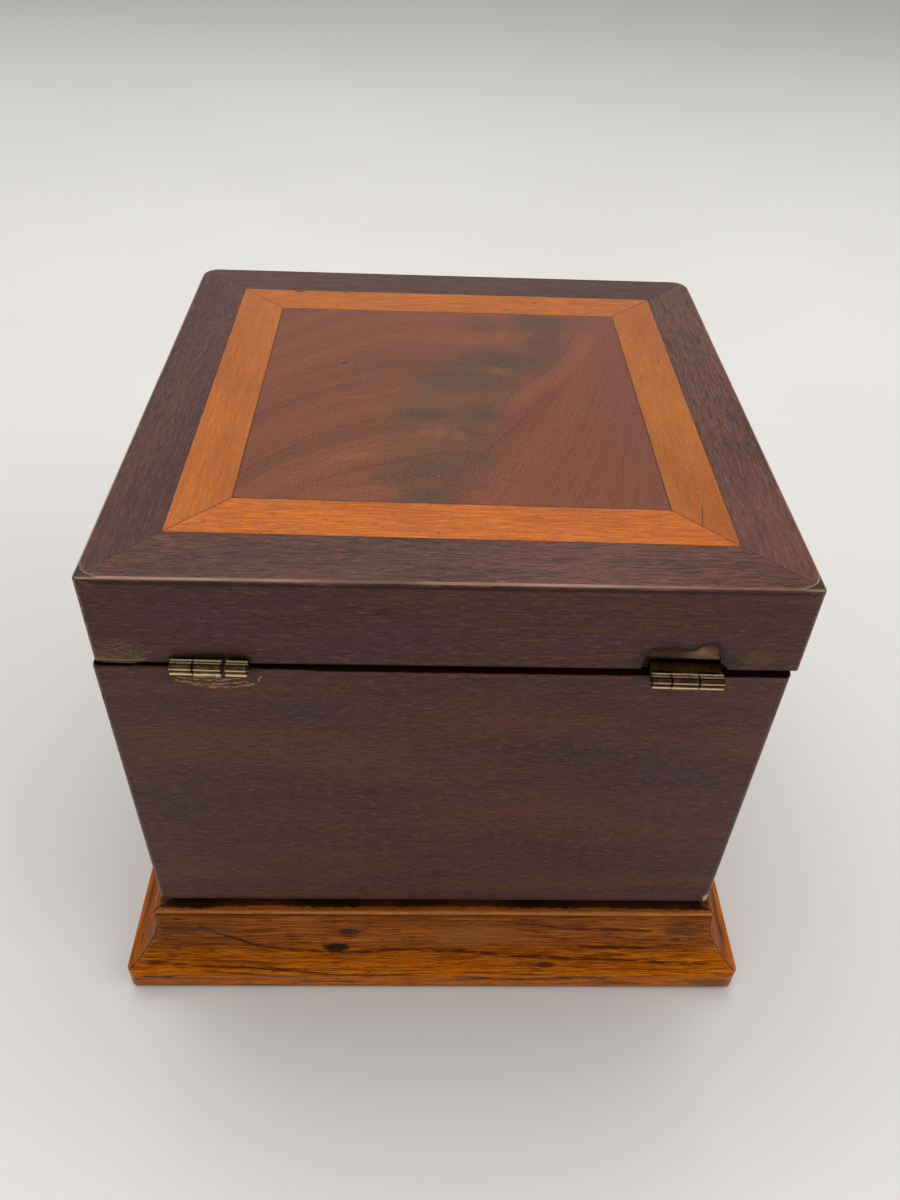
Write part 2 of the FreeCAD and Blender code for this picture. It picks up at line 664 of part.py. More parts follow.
def knob():
    """A small turned knob: a collar, a hollow waist and a rounded head."""
    base = LINING_TOP + INNER_LID_THICK
    top = base + KNOB_HEIGHT
    collar_in = KNOB_COLLAR - (KNOB_COLLAR_TOP - KNOB_COLLAR_EDGE)
    shoulder = (KNOB_WAIST + KNOB_HEAD) / 2

    def at(x, z):
        return Vector(x, 0, z)

    waist_low = at(collar_in, base + KNOB_COLLAR_TOP)
    waist_middle = at(KNOB_WAIST, base + (KNOB_COLLAR_TOP + KNOB_HEAD_LOW) / 2)
    head_low = at(shoulder, base + KNOB_HEAD_LOW)
    head_middle = at(KNOB_HEAD, base + (KNOB_HEAD_LOW + KNOB_HEIGHT) / 2)
    head_high = at(shoulder, top - KNOB_CROWN)
    crown_radius = (shoulder ** 2 + KNOB_CROWN ** 2) / (2 * KNOB_CROWN)
    crown_centre = top - crown_radius
    crown_middle = at(shoulder / 2, crown_centre + (crown_radius ** 2 - shoulder ** 2 / 4) ** 0.5)
    collar_edge = at(KNOB_COLLAR, base + KNOB_COLLAR_EDGE)
    foot = [at(0, top), at(0, base), at(KNOB_COLLAR, base), collar_edge, waist_low]
    edges = [Part.makeLine(start, end) for start, end in zip(foot, foot[1:])]
    edges.append(Part.Arc(waist_low, waist_middle, head_low).toShape())
    edges.append(Part.Arc(head_low, head_middle, head_high).toShape())
    edges.append(Part.Arc(head_high, crown_middle, at(0, top)).toShape())
    return Part.Face(Part.Wire(edges)).revolve(Vector(0, 0, 0), Vector(0, 0, 1), 360)


# ---------------------------------------------------------------- the whole caddy

def make_plinth():
    for side in SIDES:
        save("plinth_" + side, plinth_strip(side))
    save("glue_blocks", glue_blocks())
    save("base_board", block(-BASE_HALF, BASE_HALF, -BASE_HALF, BASE_HALF, BASE_BOTTOM, CASE_BOTTOM))


def make_case():
    form = case_form()
    mortises = [case_mortise(side) for side in HINGE_CENTRES]
    screws = hinge_screw_holes(False)
    pocket = lock_pocket()
    walls = {
        "front": cross_wall(-1, 0.0, CASE_BOTTOM, RIM, CASE_TAILS).cut(pocket),
        "right": side_wall(1, 0.0, CASE_BOTTOM, RIM, CASE_TAILS),
        "back": cross_wall(1, 0.0, CASE_BOTTOM, RIM, CASE_TAILS).cut(mortises + screws),
        "left": side_wall(-1, 0.0, CASE_BOTTOM, RIM, CASE_TAILS),
    }
    outer = square(HALF)
    core = square(CORE)
    inside = square(INSIDE)
    well = square(WELL)
    for number, side in enumerate(SIDES):
        save("case_wall_" + side, walls[side].common(form))
        veneer = mitred_strip(outer, core, number, CASE_BOTTOM, RIM).common(form)
        if side == "front":
            veneer = veneer.cut(keyhole(-FAR, FAR, ESCUTCHEON_RIM))
        if side == "back":
            veneer = veneer.cut(mortises)
        save("case_veneer_" + side, veneer)
        save("lining_" + side, mitred_strip(inside, well, number, CASE_BOTTOM, LINING_TOP))
    save("foil_lining", foil_lining())
    save("escutcheon", escutcheon())


def make_lock():
    save("lock_plate", lock_plate())
    save("lock_cap", lock_cap())
    save("lock_bolt", lock_bolt())
    save("lock_spring", lock_spring())
    save("lock_drill_pin", drill_pin())
    save("lock_screws", group(screw(LOCK_SCREW, place) for place in lock_screw_places()))
    save("link_plate", link_plate())
    save("link_plate_screws", group(screw(LINK_SCREW, place) for place in link_screw_places()))


def make_hinges():
    for side in HINGE_CENTRES:
        save("hinge_" + side + "_case_leaf", case_leaf(side))
        save("hinge_" + side + "_lid_leaf", lid_leaf(side))
        save("hinge_" + side + "_pin", hinge_pin(side))
    for name, up in (("case", False), ("lid", True)):
        places = [place for side in HINGE_CENTRES for place in leaf_screw_places(side, up)]
        save("hinge_" + name + "_screws", group(screw(HINGE_SCREW, place) for place in places))


def lid_back_veneer(veneer):
    """The lid's back veneer with its mortises, the broken place and the lump of filler."""
    chip = prism([Vector(x, CORE, z) for x, z in CHIP], Vector(0, FAR, 0))
    filler = prism([Vector(x, HALF - FILLER_DEPTH, z) for x, z in FILLER], Vector(0, FILLER_DEPTH, 0))
    cut = veneer.cut([lid_mortise(side) for side in HINGE_CENTRES] + [chip])
    return join([cut, filler])


def make_lid():
    form = lid_form()
    mortises = [lid_mortise(side) for side in HINGE_CENTRES]
    screws = hinge_screw_holes(True)
    walls = {
        "front": cross_wall(-1, LID_X, LID_BOTTOM, TOP_BOARD_BOTTOM, LID_TAILS).cut(link_recess()),
        "right": side_wall(1, LID_X, LID_BOTTOM, TOP_BOARD_BOTTOM, LID_TAILS),
        "back": cross_wall(1, LID_X, LID_BOTTOM, TOP_BOARD_BOTTOM, LID_TAILS).cut(mortises + screws),
        "left": side_wall(-1, LID_X, LID_BOTTOM, TOP_BOARD_BOTTOM, LID_TAILS),
    }
    outer = square(HALF, LID_X)
    core = square(CORE, LID_X)
    band = square(BAND_HALF, LID_X)
    panel = square(PANEL_HALF, LID_X)
    for outline in (band, panel):
        outline[2].y -= BAND_SKEW
        outline[3].y += BAND_SKEW
    top_board = block(LID_X - CORE, LID_X + CORE, -CORE, CORE, TOP_BOARD_BOTTOM, TOP_VENEER_BOTTOM)
    save("lid_top_board", top_board.common(form))
    for number, side in enumerate(SIDES):
        save("lid_wall_" + side, walls[side].common(form))
        veneer = mitred_strip(outer, core, number, LID_BOTTOM, TOP_VENEER_BOTTOM).common(form)
        if side == "back":
            veneer = lid_back_veneer(veneer)
        save("lid_veneer_" + side, veneer)
        save("lid_border_" + side, mitred_strip(outer, band, number, TOP_VENEER_BOTTOM, LID_TOP).common(form))
        save("lid_band_" + side, mitred_strip(band, panel, number, TOP_VENEER_BOTTOM, LID_TOP))
    lift = Vector(0, 0, TOP_VENEER_BOTTOM)
    save("lid_centre_panel", prism([corner + lift for corner in panel], Vector(0, 0, VENEER)))


def make_inner_lid():
    save("inner_lid_panel", inner_lid())
    save("inner_lid_knob", knob())


os.makedirs("parts", exist_ok=True)
make_plinth()
make_case()
make_lock()
make_hinges()
make_lid()
make_inner_lid()
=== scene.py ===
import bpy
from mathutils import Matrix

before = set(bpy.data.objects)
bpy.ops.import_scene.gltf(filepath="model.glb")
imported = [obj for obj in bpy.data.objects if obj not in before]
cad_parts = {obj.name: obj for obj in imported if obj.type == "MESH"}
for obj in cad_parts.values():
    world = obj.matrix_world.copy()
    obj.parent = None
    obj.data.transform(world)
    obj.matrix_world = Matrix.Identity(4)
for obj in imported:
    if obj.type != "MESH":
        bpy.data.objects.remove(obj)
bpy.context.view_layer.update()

import math

import bpy
from mathutils import Matrix, Vector

# A square tea caddy. Metres, in the CAD frame; texture positions are in millimetres of the same frame.
# The front, with the keyhole, faces -Y and the hinges are at +Y. Left is -X and right is +X.

SIDES = ("front", "right", "back", "left")
MM = 1000.0

# The caddy's dimensions, in mm
HALF = 62.8           # half width of the case and the lid
LID_X = -0.8          # the lid's middle
LID_TOP = 118.1
LID_BOTTOM = 99.05
TOP_JOINT = 116.9     # underside of the lid's top veneers
RIM = 98.45
CASE_BOTTOM = 23.3
PLINTH_TOP = 21.0
BAND_HALF = 50.6      # half width of the satinwood band's outer edge
PANEL_HALF = 40.1     # half width of the centre panel
BAND_SKEW = 0.6       # how far the back strip of the band runs out of square
HINGES = {"left": (-42.9, 65.25, 98.45), "right": (41.8, 63.8, 98.75)}
KNUCKLE_JOINTS = {"left": (-1.9, 3.05), "right": (-2.6, 2.7)}
FILLER = (57.0, 101.4)    # middle of the lump of old filler on the lid's back: x, z
BREAK_TOP = 105.5         # top of the place where the lid's back veneer is broken away
MORTISE_TOP = 100.5       # top of the hinge mortises in the lid's back wall
NOOK_REACH = 1.2          # how far the corner darkening reaches: painted shade on the bare core, dark patina in the hinges' crevices


def srgb(red, green, blue):
    """A linear colour from 0-255 display values."""
    def linear(value):
        value /= 255.0
        return value / 12.92 if value <= 0.04045 else ((value + 0.055) / 1.055) ** 2.4
    return (linear(red), linear(green), linear(blue), 1.0)


# ---------------------------------------------------------------- node graphs

class Value:
    """A number in one material's node graph, with arithmetic."""

    def __init__(self, graph, socket):
        self.graph = graph
        self.socket = socket

    def __add__(self, other):
        return self.graph.math("ADD", self, other)

    def __sub__(self, other):
        return self.graph.math("SUBTRACT", self, other)

    def __rsub__(self, other):
        return self.graph.math("SUBTRACT", other, self)

    def __mul__(self, other):
        return self.graph.math("MULTIPLY", self, other)

    def __truediv__(self, other):
        return self.graph.math("DIVIDE", self, other)

    __radd__ = __add__


class Graph:
    """One procedural material: a Principled shader and the nodes that feed it."""

    def __init__(self, name, **constants):
        self.material = bpy.data.materials.new(name)
        self.material.use_nodes = True
        self.tree = self.material.node_tree
        self.tree.nodes.clear()
        self.colour = None
        self.shader = self.tree.nodes.new("ShaderNodeBsdfPrincipled")
        output = self.tree.nodes.new("ShaderNodeOutputMaterial")
        self.tree.links.new(self.shader.outputs["BSDF"], output.inputs["Surface"])
        for socket, number in constants.items():
            self.shader.inputs[socket.replace("_", " ")].default_value = number
        coordinates = self.tree.nodes.new("ShaderNodeTexCoord")
        scaled = self.tree.nodes.new("ShaderNodeVectorMath")
        scaled.operation = "SCALE"
        self.tree.links.new(coordinates.outputs["Object"], scaled.inputs[0])
        scaled.inputs["Scale"].default_value = MM
        parts = self.tree.nodes.new("ShaderNodeSeparateXYZ")
        self.tree.links.new(scaled.outputs[0], parts.inputs[0])
        self.x, self.y, self.z = (Value(self, parts.outputs[axis]) for axis in "XYZ")

    def feed(self, socket, value):
        """Put a Value, a number or a colour into a socket; three numbers are a display colour."""
        if isinstance(value, Value):
            self.tree.links.new(value.socket, socket)
        elif isinstance(value, tuple) and len(value) == 3:
            socket.default_value = srgb(*value)
        else:
            socket.default_value = value

    def math(self, operation, *values):
        node = self.tree.nodes.new("ShaderNodeMath")
        node.operation = operation
        for socket, value in zip(node.inputs, values):
            self.feed(socket, value)
        return Value(self, node.outputs[0])

    def least(self, *values):
        result = values[0]
        for value in values[1:]:
            result = self.math("MINIMUM", result, value)
        return result

    def most(self, *values):
        result = values[0]
        for value in values[1:]:
            result = self.math("MAXIMUM", result, value)
        return result

    def size(self, value):
        return self.math("ABSOLUTE", value)

    def combine(self, x, y, z):
        node = self.tree.nodes.new("ShaderNodeCombineXYZ")
        for socket, value in zip(node.inputs, (x, y, z)):
            self.feed(socket, value)
        return Value(self, node.outputs[0])

    def noise(self, x, y, z, detail=2.0, roughness=0.5, distortion=0.0):
        """Noise whose features are about one unit of the given coordinates; its mean is about 0.5."""
        node = self.tree.nodes.new("ShaderNodeTexNoise")
        self.feed(node.inputs["Vector"], self.combine(x, y, z))
        node.inputs["Scale"].default_value = 1.0
        node.inputs["Detail"].default_value = detail
        node.inputs["Roughness"].default_value = roughness
        node.inputs["Distortion"].default_value = distortion
        return Value(self, node.outputs["Fac"])

    def even_noise(self, scale, detail=2.0, roughness=0.5):
        """Noise of one size every way: scale is how many features there are in a millimetre."""
        return self.noise(self.x * scale, self.y * scale, self.z * scale, detail=detail, roughness=roughness)

    def cells(self, x, y, z):
        """Distance to the nearest of many scattered points, about one unit apart."""
        node = self.tree.nodes.new("ShaderNodeTexVoronoi")
        self.feed(node.inputs["Vector"], self.combine(x, y, z))
        node.inputs["Scale"].default_value = 1.0
        return Value(self, node.outputs["Distance"])

    def step(self, value, low, high, out_low=0.0, out_high=1.0):
        """A smooth step from out_low at low to out_high at high."""
        node = self.tree.nodes.new("ShaderNodeMapRange")
        node.interpolation_type = "SMOOTHSTEP"
        for name, number in (("Value", value), ("From Min", low), ("From Max", high),
                             ("To Min", out_low), ("To Max", out_high)):
            self.feed(node.inputs[name], number)
        return Value(self, node.outputs["Result"])

    def mix(self, share, first, second):
        """A colour that goes from first to second as share goes from 0 to 1."""
        node = self.tree.nodes.new("ShaderNodeMix")
        node.data_type = "RGBA"
        self.feed(node.inputs["Factor"], share)
        self.feed(node.inputs[6], first)
        self.feed(node.inputs[7], second)
        return Value(self, node.outputs[2])

    def spot(self, a, b, centre_a, centre_b, radius_a, radius_b, soft=0.6, ragged=0.5, grain=1.0,
             wobble=None):
        """1 inside an uneven ellipse on a face, 0 outside it, with a soft edge."""
        if wobble is None:
            wobble = self.noise(a * (grain / radius_a), b * (grain / radius_b), centre_a + centre_b,
                                detail=3.0)
        da = self.math("MULTIPLY_ADD", a, 1.0 / radius_a, -centre_a / radius_a)
        db = self.math("MULTIPLY_ADD", b, 1.0 / radius_b, -centre_b / radius_b)
        distance = self.math("SQRT", self.math("MULTIPLY_ADD", da, da, db * db))
        distance = self.math("MULTIPLY_ADD", wobble, 2.0 * ragged, distance - ragged)
        return self.step(distance, 1.0 - soft, 1.0 + soft, 1.0, 0.0)

    def stroke(self, a, b, points, width, soft=1.0, sway=None):
        """1 along a smooth line through points on a face, 0 away from it; sway bends it, in mm."""
        spans = [max(places) - min(places) for places in zip(*points)]
        if spans[1] > spans[0]:
            a, b = b, a
            points = [(second, first) for first, second in points]
            spans.reverse()
        points = sorted(points)
        start = points[0][0]
        length = points[-1][0] - start
        low = min(point[1] for point in points) - 1.0
        rise = max(point[1] for point in points) + 1.0 - low
        node = self.tree.nodes.new("ShaderNodeFloatCurve")
        handles = node.mapping.curves[0].points
        placed = [((first - start) / length, (second - low) / rise) for first, second in points]
        handles[0].location = placed[0]
        handles[1].location = placed[-1]
        for place in placed[1:-1]:
            handles.new(*place)
        node.mapping.update()
        self.feed(node.inputs["Value"], self.math("MULTIPLY_ADD", a, 1.0 / length, -start / length))
        line = self.math("MULTIPLY_ADD", Value(self, node.outputs[0]), rise, low)
        aside = b - line if sway is None else b - line + sway
        lean = spans[0] / math.hypot(*spans)
        inside = self.step(self.size(aside), width * 0.5 / lean, width * (0.5 + soft) / lean, 1.0, 0.0)
        half = length / 2
        fade = min(half, 3.0 * width + 0.05 * half)
        return inside * self.step(self.size(a - (start + half)), half - fade, half, 1.0, 0.0)

    def edge(self, radius):
        """High along sharp edges of the mesh, where its bevelled normal turns; radius is in metres."""
        bevel = self.tree.nodes.new("ShaderNodeBevel")
        bevel.samples = 6
        bevel.inputs["Radius"].default_value = radius
        geometry = self.tree.nodes.new("ShaderNodeNewGeometry")
        dot = self.tree.nodes.new("ShaderNodeVectorMath")
        dot.operation = "DOT_PRODUCT"
        self.tree.links.new(bevel.outputs[0], dot.inputs[0])
        self.tree.links.new(geometry.outputs["Normal"], dot.inputs[1])
        return 1.0 - Value(self, dot.outputs["Value"])

    def nook(self):
        """1 deep in a corner or under an overhang, 0 in the open."""
        node = self.tree.nodes.new("ShaderNodeAmbientOcclusion")
        node.samples = 8
        node.inputs["Distance"].default_value = NOOK_REACH / MM
        return 1.0 - Value(self, node.outputs["AO"])

    def tint(self, share, tone):
        """Lay a tone over the surface's colour where share is 1."""
        self.colour = self.mix(share, self.colour, tone)

    def wash(self, value, low, high, share, tone):
        """Tint by nothing where value is low, up to share where it is high."""
        self.tint(self.step(value, low, high) * share, tone)

    def deaden(self, share):
        """Take the gloss off where share is 1."""
        for name in ("Specular IOR Level", "Coat Weight"):
            level = self.shader.inputs[name]
            self.feed(level, (1.0 - share) * level.default_value)

    def finish(self, roughness, height=None, depth=0.1, metallic=None):
        """Connect the surface's colour, roughness and relief (height in units of depth mm)."""
        self.feed(self.shader.inputs["Base Color"], self.colour)
        self.feed(self.shader.inputs["Roughness"], roughness)
        if metallic is not None:
            self.feed(self.shader.inputs["Metallic"], metallic)
        if height is not None:
            bump = self.tree.nodes.new("ShaderNodeBump")
            bump.inputs["Distance"].default_value = depth / MM
            self.feed(bump.inputs["Height"], height)
            self.tree.links.new(bump.outputs["Normal"], self.shader.inputs["Normal"])
        return self.material


# ---------------------------------------------------------------- wood

class Grain:
    """The figure of one piece of wood: fields that run along, across and into it."""

    def __init__(self, graph, axes, seed, wave=3.0):
        named = {"x": graph.x, "y": graph.y, "z": graph.z}
        self.graph = graph
        self.along, self.across, self.into = (named[axis] for axis in axes)
        drift = graph.noise(self.along * 0.012 + seed, self.across * 0.02, self.into * 0.02)
        self.across = self.across + (drift - 0.5) * wave
        self.seed = seed

    def field(self, length, width, detail=2.0, roughness=0.5, shift=0.0):
        """Noise stretched to this length and width, in mm."""
        return self.graph.noise(self.along / length + self.seed + shift, self.across / width,
                                self.into / width + self.seed, detail=detail, roughness=roughness)

    def pores(self):
        """Short dark dashes along the grain."""
        return self.graph.step(self.field(2.6, 0.16, 1.0, 0.5, 7.0), 0.60, 0.68)


def mahogany(name, axes, seed, tones, polish, pore_depth=0.5, length=38.0, width=2.6):
    """Dark mahogany: tones is (dark, middle, light). Returns its graph, grain, roughness and relief."""
    graph = Graph(name, **polish)
    grain = Grain(graph, axes, seed)
    dark, middle, light = tones
    cloud = grain.field(60.0, 22.0, 2.0)
    streak = grain.field(length, width, 4.0, 0.62)
    fibre = grain.field(9.0, 0.34, 3.0, 0.6)
    graph.colour = graph.mix(graph.step(cloud, 0.30, 0.72), middle, light)
    graph.wash(streak, 0.50, 0.30, 0.55, dark)
    graph.wash(fibre, 0.60, 0.38, 0.42, dark)
    pores = grain.pores()
    deep = tuple(0.35 * part for part in srgb(*dark)[:3]) + (1.0,)
    graph.tint(pores * pore_depth, deep)
    roughness = 0.24 + fibre * 0.12 + graph.even_noise(0.05) * 0.12
    relief = fibre * 0.35 - pores * 0.6
    return graph, grain, roughness, relief


POLISH = dict(Coat_Weight=0.07, Coat_Roughness=0.20, Specular_IOR_Level=0.21,
              Specular_Tint=(1.0, 0.86, 0.76, 1.0))
GOLDEN = dict(Coat_Weight=0.02, Coat_Roughness=0.22, Specular_IOR_Level=0.09,
              Specular_Tint=(1.0, 0.75, 0.45, 1.0))
WAXED = dict(Coat_Weight=0.06, Coat_Roughness=0.30, Specular_IOR_Level=0.26)
PLAIN = dict(Specular_IOR_Level=0.20)

GLUE = (34, 18, 13)
# near black, for painted shade in seams, recesses and the hinge mortise, and for dirt
SHADE_AND_DIRT = (18, 11, 8)
# painted highlight along the lid's top edge
EDGE_HIGHLIGHT = (196, 160, 140)

BORDER = ((36, 17, 17), (82, 45, 40), (104, 61, 49))
VENEER = ((40, 19, 21), (69, 35, 33), (85, 45, 36))
BAND = {"right": ((158, 82, 10), (176, 96, 16)), "left": ((150, 80, 12), (168, 94, 18)),
        "front": ((166, 86, 8), (184, 102, 12)), "back": ((182, 88, 6), (200, 104, 8))}


def line_distance(graph, start, end):
    """Distance in plan from a straight line through two points."""
    run = (end[0] - start[0], end[1] - start[1])
    length = math.hypot(*run)
    return graph.size(((graph.x - start[0]) * -run[1] + (graph.y - start[1]) * run[0]) / length)


def square(half):
    """Corners of a plan square on the lid, from the front left one, anticlockwise; the back is skewed."""
    skew = BAND_SKEW if half < HALF else 0.0
    left, right = LID_X - half, LID_X + half
    return [(left, -half), (right, -half), (right, half - skew), (left, half + skew)]


def glue_lines(graph, corners, width=0.07):
    """1 on the thin dark joints that run through these corners."""
    nearest = graph.least(*[line_distance(graph, start, end) for start, end in corners])
    ragged = graph.noise(graph.x * 0.8, graph.y * 0.8, 3.0, detail=2.0)
    return graph.step(nearest - (ragged - 0.5) * 0.10, width * 0.5, width * 2.2, 1.0, 0.0)


def strip_joints(number, outer_half, inner_half):
    """The joints of one mitred strip; the lid's own outer edge isn't one."""
    outer, inner = square(outer_half), square(inner_half)
    following = (number + 1) % 4
    joints = [(outer[number], inner[number]), (inner[number], inner[following]),
              (inner[following], outer[following])]
    if outer_half < HALF:
        joints.append((outer[number], outer[following]))
    return joints


def lid_edge_wear_and_highlights(graph):
    """Edges of the lid: a painted highlight round the top edge, the dark joint below it, and worn corners
    with painted highlights.
    """
    x, y, z = graph.x, graph.y, graph.z
    side = graph.size(x - LID_X)
    ahead = graph.size(y)
    patchy = graph.noise(x * 0.22, y * 0.22, z * 0.4, detail=4.0)
    slow = graph.noise(x * 0.03, y * 0.03, 7.0, detail=2.0)
    joint = graph.step(z, TOP_JOINT - 0.35, TOP_JOINT - 0.05)
    joint = joint * graph.step(z, TOP_JOINT + 0.35, TOP_JOINT + 0.60, 1.0, 0.0)
    graph.tint(joint * graph.step(patchy, 0.25, 0.50, 0.65, 0.95), (34, 12, 10))
    # painted highlight: a pale line along the top edge
    outside = graph.step(graph.most(side, ahead), HALF - 0.70, HALF - 0.50)
    line = outside * graph.step(z, LID_TOP - 0.46, LID_TOP - 0.34)
    graph.tint(line * graph.step(slow, 0.34, 0.60, 0.22, 0.62), EDGE_HIGHLIGHT)
    fine = graph.even_noise(1.6, detail=4.0, roughness=0.65)
    near_corner = graph.step(graph.least(side, ahead) + (patchy - 0.5) * 3.0, HALF - 5.0, HALF - 2.0)
    smeared = near_corner * graph.step(z, LID_TOP - 4.6, LID_TOP - 1.3) * graph.step(fine, 0.44, 0.58)
    graph.tint(smeared * 0.38, (104, 86, 58))
    # painted glints where the top edge's highlight reaches a corner
    graph.tint(near_corner * line * 0.45, (206, 184, 148))
    # painted highlight: a faint pale line down each upright corner
    upright = graph.step(graph.least(side, ahead), HALF - 0.9, HALF - 0.5)
    graph.tint(upright * graph.step(fine, 0.44, 0.56) * 0.45, (170, 144, 106))
    # a thin pale ring round each corner of the top, with the corner darker outside it
    bend = HALF - 4.2
    past_side = graph.most(side - bend, 0.0)
    past_ahead = graph.most(ahead - bend, 0.0)
    reach = graph.math("SQRT", graph.math("MULTIPLY_ADD", past_side, past_side, past_ahead * past_ahead))
    on_top = graph.step(z, LID_TOP - 0.40, LID_TOP - 0.15)
    rounding = on_top * graph.step(graph.least(side, ahead), HALF - 4.6, HALF - 3.0)
    graph.tint(rounding * graph.step(reach, 3.55, 3.75) * 0.75, (30, 16, 12))
    ring = graph.step(graph.size(reach - 3.45), 0.05, 0.20, 1.0, 0.0)
    graph.tint(rounding * ring * graph.step(fine, 0.36, 0.52, 0.15, 0.55), (166, 132, 104))


def border(side, number):
    """One dark mahogany strip round the lid's top."""
    axes = "xyz" if side in ("front", "back") else "yxz"
    graph, grain, roughness, relief = mahogany(
        "border_" + side, axes, 11.3 * number + 2.0, BORDER, POLISH)
    # red clouds, then dark and pale dashes along the grain
    graph.wash(grain.field(16.0, 1.8, 3.0, 0.6, 3.0), 0.58, 0.72, 0.35, (104, 58, 46))
    graph.wash(grain.field(3.4, 0.30, 2.0, 0.6, 15.0), 0.53, 0.64, 0.74, (24, 10, 10))
    graph.wash(grain.field(4.0, 0.35, 2.0, 0.6, 19.0), 0.55, 0.68, 0.42, (138, 90, 70))
    if side in ("right", "front"):
        graph.tint(0.35, (50, 26, 30))
    if side == "left":
        graph.wash(graph.y, 10.0, 45.0, 0.16, (150, 98, 80))
    lid_edge_wear_and_highlights(graph)
    lines = glue_lines(graph, strip_joints(number, HALF, BAND_HALF))
    graph.tint(lines * 0.8, GLUE)
    return graph.finish(roughness, relief - lines * 0.8, 0.05)


def satinwood(side, number):
    """One orange satinwood strip of the band."""
    graph = Graph("satinwood_" + side, **POLISH)
    x, y = graph.x, graph.y
    grain = Grain(graph, "xyz" if side in ("front", "back") else "yxz", 5.7 * number + 1.0, wave=1.0)
    cloud = grain.field(26.0, 9.0, 2.0)
    streak = grain.field(20.0, 0.9, 4.0, 0.6)
    fibre = grain.field(5.0, 0.22, 2.0, 0.6)
    flecks = graph.step(grain.field(1.1, 0.26, 2.0, 0.5, 9.0), 0.60, 0.72)
    mottle = graph.noise(x * 0.55, y * 0.55, number * 4.0, detail=4.0, roughness=0.6)
    graph.colour = graph.mix(graph.step(cloud, 0.32, 0.70), *BAND[side])
    graph.wash(streak, 0.54, 0.36, 0.42, (156, 72, 10))
    graph.wash(mottle, 0.52, 0.66, 0.38, (158, 78, 16))
    strength = 0.22 if side in ("left", "right") else 0.50
    graph.tint(graph.step(fibre, 0.54, 0.42) * strength, (140, 62, 8))
    graph.tint(graph.step(fibre, 0.56, 0.66) * strength, (222, 130, 38))
    graph.tint(flecks * 0.72, (104, 44, 10))
    marks = graph.step(graph.cells(x * 0.11, y * 0.11, number * 1.7), 0.025, 0.045, 1.0, 0.0)
    graph.tint(marks * 0.65, (80, 38, 20))
    lines = glue_lines(graph, strip_joints(number, BAND_HALF, PANEL_HALF))
    damage = lines
    if side == "left":
        crack = graph.stroke(x, y, ((-46.9, 38.9), (-46.3, 42.5), (-45.4, 46.0)), 0.07)
        damage = graph.most(damage, crack)
    if side == "back":
        damage = graph.most(damage, graph.stroke(x, y, ((46.2, 42.4), (45.4, 44.0)), 0.10),
                            graph.stroke(x, y, ((45.4, 44.0), (47.0, 45.2)), 0.10))
    if side == "front":
        for a, b, size in ((36.3, -49.8, 0.8), (24.8, -50.0, 0.5), (-22.2, -46.6, 0.4)):
            damage = graph.most(damage, graph.spot(x, y, a, b, size * 1.6, size * 0.6, soft=0.4))
    graph.tint(damage * 0.85, GLUE)
    roughness = 0.26 + fibre * 0.10 + cloud * 0.10
    return graph.finish(roughness, fibre * 0.3 - flecks * 0.4 - damage * 1.0, 0.04)


